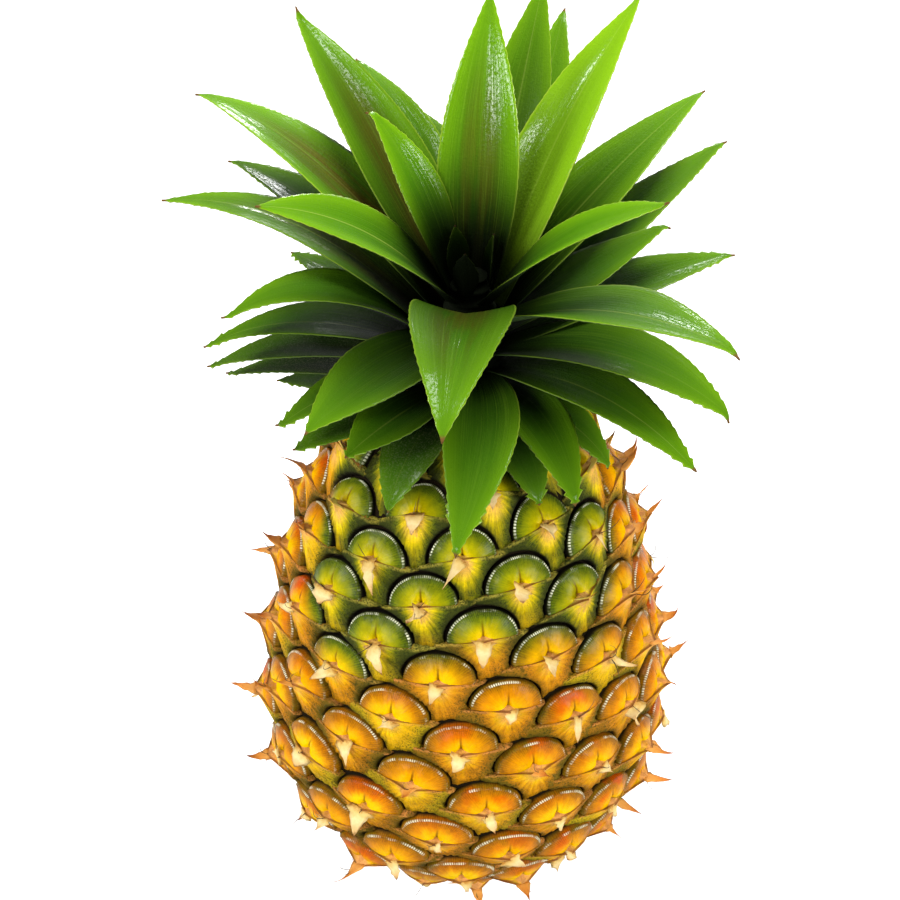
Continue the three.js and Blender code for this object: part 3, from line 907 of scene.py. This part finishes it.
# %% Build the leaves
flat = middle[:, :, None] + x[..., None] * across[:, :, None]
upper = flat + (lift + thick)[..., None] * inner[:, :, None]
lower = flat + (lift - thick)[..., None] * inner[:, :, None]
leaf_points = closed_about(middle, np.concatenate([upper, lower[:, :, ::-1]], 2)) * MM
leaf_across = np.pad(np.tile(np.concatenate([column, column[::-1]]), LEAF_STEPS + 1), 1)
leaf_under = np.pad(np.tile(np.repeat([0, 1], LEAF_COLUMNS), LEAF_STEPS + 1), 1)
leaf_along = np.pad(np.repeat(s, 2 * LEAF_COLUMNS), 1, constant_values=(0, 1))
from_axis = np.hypot(leaf_points[..., 0], leaf_points[..., 1]) / MM
# Near the axis and the root, the leaves are painted near black: the painted shade in the heart.
leaf_heart_shade = (1 - smooth(8, 30, from_axis)) * (1 - smooth(10, 38, long * leaf_along))
leaves = [
    ringed_object(
        f"crown_leaf_{order + 1:02d}",
        leaf_points[order],
        2 * LEAF_COLUMNS,
        {
            "across": leaf_across,
            "along": leaf_along,
            "under": leaf_under,
            "size": long[order] / LEAF_FULL_LENGTH,
            "chance": leaf_chance[order],
            "shade": shade[order],
            "tint": tint[order],
            "heart": leaf_heart_shade[order],
        },
    )
    for order in range(LEAF_COUNT)
]

# %% [markdown]
# ## Helpers for finishes
#
# A finish is a small network of nodes. They could be joined by hand in the Shader editor, or one link at a
# time in long rows of lines. Here a Wire is the output of a node, and sums written with wires add the
# nodes that work them out, so that a finish reads like the formulas it stands for. A colour is given by
# its usual six digits.

# %% Wires
class Wire:
    """The output of a node, which +, -, *, /, % and abs work on as they do on numbers."""

    def __init__(self, socket):
        self.socket = socket
        self.tree = socket.id_data

    def __add__(self, other):
        return maths("ADD", self, other)

    def __sub__(self, other):
        return maths("SUBTRACT", self, other)

    def __rsub__(self, other):
        return maths("SUBTRACT", other, self)

    def __mul__(self, other):
        return maths("MULTIPLY", self, other)

    def __truediv__(self, other):
        return maths("DIVIDE", self, other)

    def __mod__(self, other):
        return maths("MODULO", self, other)

    def __abs__(self):
        return maths("ABSOLUTE", self)


def colour(digits):
    """A linear colour from its usual six hexadecimal digits."""
    parts = np.array([int(digits[i : i + 2], 16) for i in (0, 2, 4)]) / 255
    linear = np.where(parts <= 0.04045, parts / 12.92, ((parts + 0.055) / 1.055) ** 2.4)
    return (*linear.tolist(), 1.0)


def feed(node, inputs):
    """Gives each of a node's inputs a wire, a plain value, or a colour by its digits."""
    for place, value in inputs.items():
        if isinstance(value, Wire):
            node.id_data.links.new(value.socket, node.inputs[place])
        else:
            node.inputs[place].default_value = colour(value) if isinstance(value, str) else value


def add(tree, kind, output, inputs=None, **settings):
    """A new node of a kind, with its settings and inputs, and the wire of one of its outputs."""
    node = tree.nodes.new("ShaderNode" + kind)
    for name, value in settings.items():
        setattr(node, name, value)
    feed(node, inputs or {})
    return Wire(node.outputs[output])


# %% Kinds of node
def tree_of(*values):
    """The node tree of the first wire among some values."""
    return next(value.tree for value in values if isinstance(value, Wire))


def maths(operation, first, second=0.0):
    """One sum of two values, at least one of them a wire."""
    return add(tree_of(first, second), "Math", 0, {0: first, 1: second}, operation=operation)


def numbers(tree, names):
    """The named numbers on the piece's points, from their names in one line."""
    return [add(tree, "Attribute", "Fac", attribute_name=name) for name in names.split()]


def band(value, low, high):
    """A smooth step of a value: 0 at low, 1 at high."""
    inputs = {"Value": value, "From Min": low, "From Max": high}
    return add(value.tree, "MapRange", 0, inputs, interpolation_type="SMOOTHSTEP")


def blend(share, first, second, how="MIX"):
    """One colour over another, by a share."""
    tree = tree_of(share, first, second)
    return add(tree, "Mix", 2, {0: share, 6: first, 7: second}, data_type="RGBA", blend_type=how)


def paint(base, *layers):
    """A colour with others laid over it in turn, each given as its share and itself."""
    for share, layer in layers:
        base = blend(share, base, layer)
    return base


def ramp(value, stops):
    """A colour that changes with a value, through stops of value and colour."""
    shown = add(value.tree, "ValToRGB", 0, {0: value})
    elements = shown.socket.node.color_ramp.elements
    while len(elements) < len(stops):
        elements.new(0.5)
    for element, (place, digits) in zip(elements, stops.items()):
        element.position = place
        element.color = colour(digits)
    return shown


def noise(place, scale, detail=2.0, roughness=0.5):
    """Cloudy noise from 0 to 1."""
    inputs = {"Vector": place, "Scale": scale, "Detail": detail, "Roughness": roughness}
    return add(place.tree, "TexNoise", 0, inputs)


def place_of(tree):
    """Object coordinates, in metres."""
    return add(tree, "TexCoord", "Object")


def vector(x, y, z):
    """Three values as a vector."""
    return add(tree_of(x, y, z), "CombineXYZ", 0, {0: x, 1: y, 2: z})


def bump(height, strength, depth):
    """A normal that follows a height, depth in metres."""
    inputs = {"Height": height, "Strength": strength, "Distance": depth}
    return add(height.tree, "Bump", 0, inputs)


def finish(name, build, **constants):
    """A material: build gives the wires of its shader's inputs, and constants are their plain values."""
    material = bpy.data.materials.new(name)
    material.use_nodes = True
    shader = material.node_tree.nodes["Principled BSDF"]
    feed(shader, {place.replace("_", " "): value for place, value in constants.items()})
    feed(shader, build(material.node_tree))
    print(f"{name}: {len(material.node_tree.nodes)} nodes")
    return material


# %% [markdown]
# ## Shared effects
#
# Two effects turn up all over the plant. Mottling is the small unevenness of anything that grew: it makes
# a colour lighter and darker in soft patches and fine specks. Fibre is the lengthwise grain of leaves,
# bracts and domes: noise drawn out along the piece. Each is built once, as a node group, and every
# material that uses it gives it its own values, so that a change to it reaches them all.

# %% Node groups
def shared(name, inputs, outputs, build):
    """A node group with its sockets, whose outputs build works out from its inputs."""
    tree = bpy.data.node_groups.new(name, "ShaderNodeTree")
    for side, labels in (("INPUT", inputs), ("OUTPUT", outputs)):
        for label in labels:
            kind = "NodeSocketColor" if label == "Colour" else "NodeSocketFloat"
            tree.interface.new_socket(label, in_out=side, socket_type=kind)
    given = tree.nodes.new("NodeGroupInput").outputs
    made = build(tree, *(Wire(given[label]) for label in inputs))
    feed(tree.nodes.new("NodeGroupOutput"), dict(zip(outputs, made)))
    return tree


def use(tree, effect, inputs):
    """A shared effect placed in a material with its own inputs, and the wires of its outputs."""
    first = add(tree, "Group", 0, inputs, node_tree=effect)
    return [Wire(output) for output in first.socket.node.outputs]


# %% Mottling
PATCHES_SHARE = 0.6
SPECKS_SHARE = 0.4
SPECKS_FINER = 7.0


def mottling_nodes(tree, base, strength, scale):
    place = place_of(tree)
    patches = noise(place, scale, 3.0, 0.6)
    specks = noise(place, scale * SPECKS_FINER, 2.0, 0.7)
    gain = (patches * PATCHES_SHARE + specks * SPECKS_SHARE - 0.5) * strength + 1.0
    return blend(1.0, base, vector(gain, gain, gain), "MULTIPLY"), specks


mottling = shared("Mottling", ("Colour", "Strength", "Scale"), ("Colour", "Specks"), mottling_nodes)


def mottled(tree, base, strength, scale):
    """A colour with the mottling over it, and the mottling's specks."""
    return use(tree, mottling, {"Colour": base, "Strength": strength, "Scale": scale})


# %% Fibre
FIBRE_SHUFFLE = 40.0


def fibre_nodes(tree, across, along, fineness, length, chance):
    place = vector(across * fineness, along / length, chance * FIBRE_SHUFFLE)
    return [noise(place, 1.0, 3.0, 0.65)]


fibre = shared("Fibre", ("Across", "Along", "Fineness", "Length", "Chance"), ("Fibre",), fibre_nodes)


def fibres(across, along, chance, fineness, length):
    """The fibre from 0 to 1, fine across a piece and drawn out along it."""
    inputs = {"Across": across, "Along": along, "Fineness": fineness, "Length": length, "Chance": chance}
    return use(across.tree, fibre, inputs)[0]


print("shared effects:", mottling.name, "and", fibre.name)

# %% [markdown]
# ## The finish of the domes
#
# A dome is yellow at its navel. Outwards it turns green on the upper fruit and orange on the ripe part
# below, where some domes have a golden patch and others a red blush near the crest, and a few keep a brown
# scar. Fine dark ribs run out to the rim. On its upper half the rim carries a row of pale beads, a painted
# highlight where the wax would catch the light from above. Beyond it the colour drops to near black, the
# painted shade of the groove. A picture laid over every dome would make them all alike. Colours that
# follow the numbers on the points, with noise and each eye's chance, keep to the dome's shape and still
# differ from one dome to the next.

# %% Dome finish
BEAD_WAVES = 502.0
BEAD_ROW_IN = (0.875, 0.895)
BEAD_ROW_OUT = (0.95, 0.93)
GREEN_RIM_FROM = 0.93
RIPE_RIM_FURTHER = 0.03
RIM_WIDTH = 0.03


def dome_nodes(tree):
    reach, ripe, turn, side, chance = numbers(tree, "reach ripe turn side chance")
    place = place_of(tree)
    cloud = noise(place, 260.0, 3.0, 0.6)
    streak = fibres(turn, reach, chance, 70.0, 0.8)
    warped = reach + (cloud - 0.5) * 0.4 + (streak - 0.5) * 0.2
    second = chance * 7.0 % 1.0
    unripe = reach * 0.5 + noise(place, 130.0) * 0.6
    turned_yet = band(ripe - unripe, -0.45, 0.4)
    green = ramp(
        warped,
        {0.0: "c08c08", 0.16: "e2c400", 0.36: "b4a802", 0.58: "8a8c0a", 0.8: "5a6a10", 1.0: "3e4614"},
    )
    orange = ramp(
        warped,
        {0.0: "a86606", 0.14: "f2c200", 0.4: "e4a200", 0.64: "cc8004", 0.85: "a86a08", 1.0: "7c6410"},
    )
    golden = band(second, 0.4, 0.9) * band(warped, 0.8, 0.35)
    orange = blend(golden * 0.55, orange, "f2d000")

    blush = band(warped, 0.35, 0.7) * band(chance, 0.0, 0.9) * band(abs(side), 0.85, 0.3)
    blush = blush * band(noise(place, 110.0), 0.4, 0.6) * band(1.0 - ripe, 0.6, 0.0)
    fold = band(abs(side), 0.05, 0.0) * band(reach, 0.75, 0.4)
    scar = band(warped, 0.3, 0.12) * band(second, 0.3, 0.15)
    base = paint(
        blend(turned_yet, green, orange),
        (blush * 0.85, "d04400"),
        (fold * 0.75, "5c2c06"),
        (scar * 0.8, "6a3418"),
    )

    base, specks = mottled(tree, base, 1.1, 230.0)
    specks = band(specks, 0.48, 0.62) * band(warped, 0.5, 0.95)
    beads = maths("SINE", turn * BEAD_WAVES)
    ribs = band(beads, -0.1, -0.9) * band(warped, 0.62, 0.85)
    row = band(reach, *BEAD_ROW_IN) * band(reach, *BEAD_ROW_OUT)
    # Pale beads along the upper half of the rim: a painted highlight where the wax would catch the light.
    painted_glints = row * band(abs(turn - 0.25), 0.26, 0.2) * band(noise(place, 240.0), 0.42, 0.62)
    painted_glints = painted_glints * band(beads, -1.1, 0.6)
    # The rim band is painted near-black shade, where the dome rolls down into the groove.
    rim_from = turned_yet * RIPE_RIM_FURTHER + GREEN_RIM_FROM
    rim = band(reach, rim_from, rim_from + RIM_WIDTH)
    dark = blend(turned_yet, "222a0c", "6a3c08")
    base = paint(
        base,
        (specks * 0.6, dark),
        (ribs * 0.45, dark),
        (painted_glints * 0.85, "f4f4d4"),
        (rim, blend(turned_yet, "0e0b04", "281e08")),
    )
    height = beads * row * 0.5 + cloud + streak * 0.5
    return {"Base Color": base, "Roughness": rim * 0.5 + 0.24, "Normal": bump(height, 0.35, 0.0006)}


dome_finish = finish("ripening_dome", dome_nodes, Specular_IOR_Level=0.08)

# %% [markdown]
# ## The finish of the bracts
#
# The middle of a bract is bright: lemon to lime on the green part of the fruit, golden on the ripe part.
# The colour runs down in streaks along the ribs and darkens to specked olive and brown towards the wings.
# Near the domes below it, olive is laid on as painted shade. A dry cuff surrounds the tip's root, and the
# lip is pale, edged with a thin reddish-brown line, the painted shadow between the lip's overhang and its
# dome. The groove could be left to shadow alone, but under soft light it would stay pale, so the distance
# to the next dome, worked out for every point above, darkens it with painted shade as well.

# %% Bract finish
def bract_nodes(tree):
    reach, ripe, turn, side = numbers(tree, "reach ripe turn side")
    lip, gap, depth, chance = numbers(tree, "lip gap depth chance")
    cloud = noise(place_of(tree), 330.0, 3.0, 0.65)
    streak = fibres(turn, reach, chance, 44.0, 0.7)
    aside = abs(side)
    wander = (streak - 0.5) * 0.75 + (cloud - 0.5) * 0.5
    away = aside * (1.0 - ripe * 0.25) + reach * 0.2 + band(reach, 0.22, 0.66) * 0.42 + wander
    second = chance * 11.0 % 1.0
    turned_yet = band(ripe - aside * 0.3, -0.15, 0.65)
    green = ramp(
        away,
        {0.0: "e0b44a", 0.08: "f2d800", 0.26: "d2ba00", 0.46: "9a9206", 0.72: "5e660e", 1.0: "444a12"},
    )
    orange = ramp(
        away,
        {0.0: "e4a040", 0.1: "f4c400", 0.34: "e6a604", 0.6: "cc860a", 0.84: "a46c10", 1.0: "7a5c12"},
    )
    orange = paint(
        orange,
        (band(second, 0.55, 0.95) * 0.5, "e8cc10"),
        (band(second, 0.45, 0.0) * 0.4, "c47c18"),
    )

    olive = blend(turned_yet, "262c0a", "3a3a0a")
    # Olive near the domes below is painted shade.
    uneven_gap = gap + (cloud - 0.5) * 3.0
    near_dome_shade = band(uneven_gap, 4.2 - turned_yet * 1.7, 0.5) * band(aside, 0.08, 0.5)
    near_dome_shade = maths("MAXIMUM", near_dome_shade, band(gap, 3.0, 0.5) * 0.7)
    patchy = band(cloud, 0.35, 0.65) * 0.4 + 0.55
    along_lip = band(depth, 1.2, 0.3) * band(cloud, 0.35, 0.6)
    cuff = band(reach, 0.42, 0.08) * band(cloud, 0.3, 0.55) * band(aside, 0.4, 0.1)
    base = paint(
        blend(turned_yet, green, orange),
        (near_dome_shade * patchy, olive),
        (along_lip * 0.6, blend(turned_yet, "b8a840", "dc8e48")),
        (cuff * 0.75, "eaa868"),
    )

    base, specks = mottled(tree, base, 1.5, 260.0)
    specks = band(specks, 0.48, 0.62) * band(away, 0.3, 0.85)
    # Near the next dome the groove is painted near black: painted shade.
    dark_below = 1.2 - turned_yet * 0.5
    groove = band(gap, dark_below, dark_below * 0.35)
    # A thin reddish-brown line just above the lip: the painted shadow under its overhang.
    lip_shadow_line = band(lip, 0.0, 0.15) * band(lip, 0.7, 0.35) * band(aside, 1.0, 0.8)
    base = paint(
        base,
        (specks * 0.8, olive),
        (groove, blend(turned_yet, "0e0a04", "34280c")),
        (lip_shadow_line * 0.8, "7a3f16"),
    )
    rough = maths("MAXIMUM", groove, aside) * 0.3 + 0.4
    return {"Base Color": base, "Roughness": rough, "Normal": bump(streak + cloud * 0.8, 0.7, 0.0012)}


bract_finish = finish("ribbed_bract", bract_nodes, Specular_IOR_Level=0.07)

# %% [markdown]
# ## The other finishes of the fruit
#
# A worn tip is cream-coloured paper with a browner root and point. A fresh one takes its root's green or
# orange and browns towards its point. The flesh in the grooves and the stem are mottled and near black,
# painted shade of the deep grooves and of the hollow heart of the crown, and the cut stalk shows the ends
# of its fibres. Plain colours would do for such small parts, but the unevenness costs a few nodes and
# keeps them from looking like plastic.

# %% Papery tips and hairs
def tip_nodes(tree):
    reach, ripe, worn = numbers(tree, "reach ripe worn")
    grain = noise(place_of(tree), 900.0, 3.0, 0.6)
    along = reach + (grain - 0.5) * 0.5
    paper = ramp(along, {0.0: "c08a3a", 0.15: "dcb868", 0.45: "ecd296", 0.85: "d8b070", 1.0: "8a5a2a"})
    fresh = ramp(along, {0.0: "ffffff", 0.35: "fce8c8", 0.65: "e0b484", 1.0: "704830"})
    fresh = blend(1.0, fresh, blend(ripe, "d0be5c", "e8ac58"), "MULTIPLY")
    return {"Base Color": blend(worn, fresh, paper), "Normal": bump(grain, 0.4, 0.0004)}


def hair_nodes(tree):
    [reach] = numbers(tree, "reach")
    return {"Base Color": ramp(reach, {0.0: "4a2c14", 1.0: "1a120c"})}


tip_finish = finish("papery_tip", tip_nodes, Roughness=0.7, Specular_IOR_Level=0.25)
hair_finish = finish("dark_hair", hair_nodes, Roughness=0.55)

# %% Flesh, stalk and stem finishes
def core_nodes(tree):
    # The near-black flesh is painted shade of the deep grooves.
    base, specks = mottled(tree, "1c150a", 0.9, 300.0)
    return {"Base Color": base, "Normal": bump(specks, 0.6, 0.0008)}


def stalk_nodes(tree):
    strands = add(tree, "TexVoronoi", "Distance", {"Vector": place_of(tree), "Scale": 900.0})
    base = ramp(strands, {0.0: "8a6a3c", 0.35: "cdb27c", 1.0: "dcc794"})
    return {"Base Color": mottled(tree, base, 0.6, 160.0)[0], "Normal": bump(strands, 0.5, 0.0005)}


def stem_nodes(tree):
    # The stem's near-black colour is painted shade of the hollow heart of the crown.
    base, specks = mottled(tree, "0a0f05", 0.8, 260.0)
    return {"Base Color": base, "Normal": bump(specks, 0.5, 0.0006)}


core_finish = finish("groove_flesh", core_nodes, Roughness=0.8, Specular_IOR_Level=0.05)
stalk_finish = finish("cut_fibre", stalk_nodes, Roughness=0.85)
stem_finish = finish("scarred_stem", stem_nodes, Roughness=0.9, Specular_IOR_Level=0.05)

# %% [markdown]
# ## The finish of the leaves
#
# A leaf is glossy above. Its colour turns from near black at the root to fresher green outwards, and it is
# painted nearly black in the heart of the crown: both are painted shade. Each leaf's shade number darkens
# it further as painted shade; below 0 it brightens it as painted light. Some have an olive brown tint
# along the middle, and a thin yellow-green margin is painted light through the edge, fainter on the more
# shaded leaves. Fine veins run its length, and its wax, a clear coat, is broken up along them. The darkest
# leaves carry a little pale scurf. The last few millimetres are dry. Below, a silvery bloom makes a leaf
# grey and dull. The gloss could come from a low roughness, but that would lay an even veil over the greens.
# A coat with a mask leaves them deep, and shines only where the wax does.

# %% Leaf finish
def leaf_nodes(tree):
    across, along, under, chance, size = numbers(tree, "across along under chance size")
    shade, brown, heart = numbers(tree, "shade tint heart")
    place = place_of(tree)
    aside = abs(across)
    veins = fibres(across, along * size, chance, 34.0, 0.4)
    broad = fibres(across, along * size, chance, 2.6, 0.4)
    grain = noise(place, 1500.0, 2.0, 0.6)
    # The ramp's near-black root is painted shade, deep in the crown.
    base = ramp(along, {0.0: "0c1404", 0.16: "1c3006", 0.34: "305608", 0.6: "467808", 0.88: "5a8c08"})
    lighter = band(aside, 0.3, 1.0) * band(along, 0.1, 0.6)
    tint = band(aside, 0.85, 0.15) * band(broad, 0.3, 0.58) * band(along, 0.9, 0.5) * brown
    base = paint(base, (lighter * 0.55, "74a608"), (tint * 0.9, "5a4210"))
    base = blend(band(veins, 0.45, 0.8), base, blend(0.3, base, "86b42c"))

    fold = band(aside, 0.04, 0.01) * band(along, 0.2, 0.4) * band(chance, 0.3, 1.0)
    # A leaf's shade number darkens it as painted shade, less towards its tip.
    painted_leaf_shade = maths("MAXIMUM", shade, 0.0) * (1.0 - band(along, 0.4, 1.0) * 0.5)
    # The pale margin is painted light through the thin edge, fainter on the more shaded leaves.
    margin = band(aside, 0.955, 0.995) * band(along, 0.05, 0.3)
    pale = 0.5 - shade * 0.45 + band(along, 0.75, 0.9) * 0.3
    scurf = band(noise(place, 2400.0), 0.45, 0.7) * band(shade, 0.78, 0.92)
    dry = band(along + veins * 0.02, 0.985, 0.998)
    base = paint(
        base,
        (fold * 0.4, "a4b850"),
        # A shade number below 0 brightens the leaf as painted light.
        (band(shade, 0.0, -0.8) * 0.8, "94c01c"),
        (painted_leaf_shade, "0c1a06"),
        (margin * pale, "a8c040"),
        (scurf * 0.28, "8c8c70"),
        (under, blend(band(veins, 0.35, 0.7), "2c421a", "566a44")),
        (dry, "6a4c28"),
        # The heart of the crown is painted near black as shade.
        (heart * 0.96, "030501"),
    )

    gloss = band(along, 0.25, 0.6) * (1.0 - under) * (1.0 - maths("MAXIMUM", heart, dry)) * (1.0 - painted_leaf_shade)
    gloss = gloss * band(veins + broad, 0.92, 1.25) * band(grain, 0.38, 0.6)
    height = veins + grain + broad * 0.6
    return {"Base Color": base, "Coat Weight": gloss, "Normal": bump(height, 0.4, 0.0005)}


leaf_finish = finish("glossy_leaf", leaf_nodes, Roughness=0.5, Specular_IOR_Level=0.025, Coat_Roughness=0.15)

# %% [markdown]
# ## Putting it together
#
# Every piece now takes its finish and the place of the CAD parts that it stands for. The fruit has no
# joint, so all of them ride on its one body. The hairs stand for no CAD part and are only added.

# %% Dress the frame
def settle(piece, nodes, material):
    """Puts a finished piece on the fruit's only body, in the place of its CAD nodes, with its finish."""
    piece.data.materials.append(material)
    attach(piece, "root")
    if nodes:
        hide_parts(*nodes)


settle(domes, ["fruit"], dome_finish)
settle(bracts, ["fruit"], bract_finish)
settle(tips, ["fruit"], tip_finish)
settle(hairs, [], hair_finish)
settle(core, ["fruit"], core_finish)
settle(stalk, ["cut_stalk"], stalk_finish)
settle(stem, ["crown_stem"], stem_finish)
for order, leaf in enumerate(leaves):
    settle(leaf, [f"leaf_{order + 1:02d}"], leaf_finish)

# %% [markdown]
# ## Studio
#
# The floor and the room look pale to the camera but light the fruit only a little. Five soft lights do
# that, from above and all round, and two more shine on gloss alone: they draw the sheen of the leaves.
# One strong light would do for the sheen too, but it would bleach the fruit.

# %% Floor
FLOOR_HALF_SIZE = 6.0


def seen_by_camera(tree):
    """1 for what the camera sees itself, 0 for light on its way to something else."""
    return add(tree, "LightPath", "Is Camera Ray")


def floor_nodes(tree):
    return {"Emission Color": blend(seen_by_camera(tree), "000000", "f4f4f4")}


floor_corners = np.array([(-1, -1, 0), (1, -1, 0), (1, 1, 0), (-1, 1, 0)]) * FLOOR_HALF_SIZE
floor = mesh_object("studio_floor", floor_corners, np.zeros((0, 3), int), np.array([[0, 1, 2, 3]]))
floor.data.materials.append(
    finish("pale_floor", floor_nodes, Base_Color="c8c8c8", Roughness=0.9, Emission_Strength=1.0)
)

# %% Room
ROOM_LIGHT = 0.09

world = bpy.data.worlds.new("pale_room")
world.use_nodes = True
room_strength = maths("MAXIMUM", seen_by_camera(world.node_tree), ROOM_LIGHT)
feed(world.node_tree.nodes["Background"], {"Color": "ffffff", "Strength": room_strength})
bpy.context.scene.world = world
bpy.context.scene.view_settings.view_transform = "Standard"

# %% Lights
MIDDLE = (0, 0, 0.14)

# Each light's place, its size in metres, its watts, and whether it lights more than gloss.
LIGHTS = {
    "overhead": ((0.1, 0.15, 1.1), 0.5, 12, True),
    "behind": ((0.1, 1.15, 0.48), 0.4, 2, True),
    "left": ((-1.0, -0.3, 0.72), 0.35, 9, True),
    "front": ((-0.6, -1.0, 0.55), 0.4, 8, True),
    "right": ((1.0, -0.6, 0.5), 0.5, 12.5, True),
    "sheen_behind": ((0.03, 1.05, 0.72), 0.22, 7, False),
    "sheen_left": ((-0.84, 0.09, 0.9), 0.2, 4, False),
}


def aimed(name, data, place, aim):
    """A light or a camera at a place, turned to face a point."""
    thing = bpy.data.objects.new(name, data)
    thing.location = place
    thing.rotation_euler = (Vector(aim) - Vector(place)).to_track_quat("-Z", "Y").to_euler()
    bpy.context.scene.collection.objects.link(thing)
    return thing


for name, (place, size, watts, lights_all) in LIGHTS.items():
    light = bpy.data.lights.new(name, "AREA")
    light.size = size
    light.energy = watts
    aimed(name, light, place, MIDDLE).visible_diffuse = lights_all
print(len(LIGHTS), "lights")

# %% Camera
CAMERA_PLACE = Vector((-4.715, -342.10, 383.85)) * MM
CAMERA_AIM = Vector((-4.715, 0, 140.19)) * MM
CAMERA_ROLL = 0.69
CAMERA_LENS = 59.9
CAMERA_SENSOR = 36
CAMERA_NEAREST = 0.01

camera_data = bpy.data.cameras.new("camera")
camera_data.lens = CAMERA_LENS
camera_data.sensor_width = CAMERA_SENSOR
camera_data.clip_start = CAMERA_NEAREST
camera = aimed("camera", camera_data, CAMERA_PLACE, CAMERA_AIM)
camera.rotation_euler.rotate_axis("Z", math.radians(CAMERA_ROLL))
bpy.context.scene.camera = camera
print("camera", round((CAMERA_AIM - CAMERA_PLACE).length, 3), "m from what it faces")
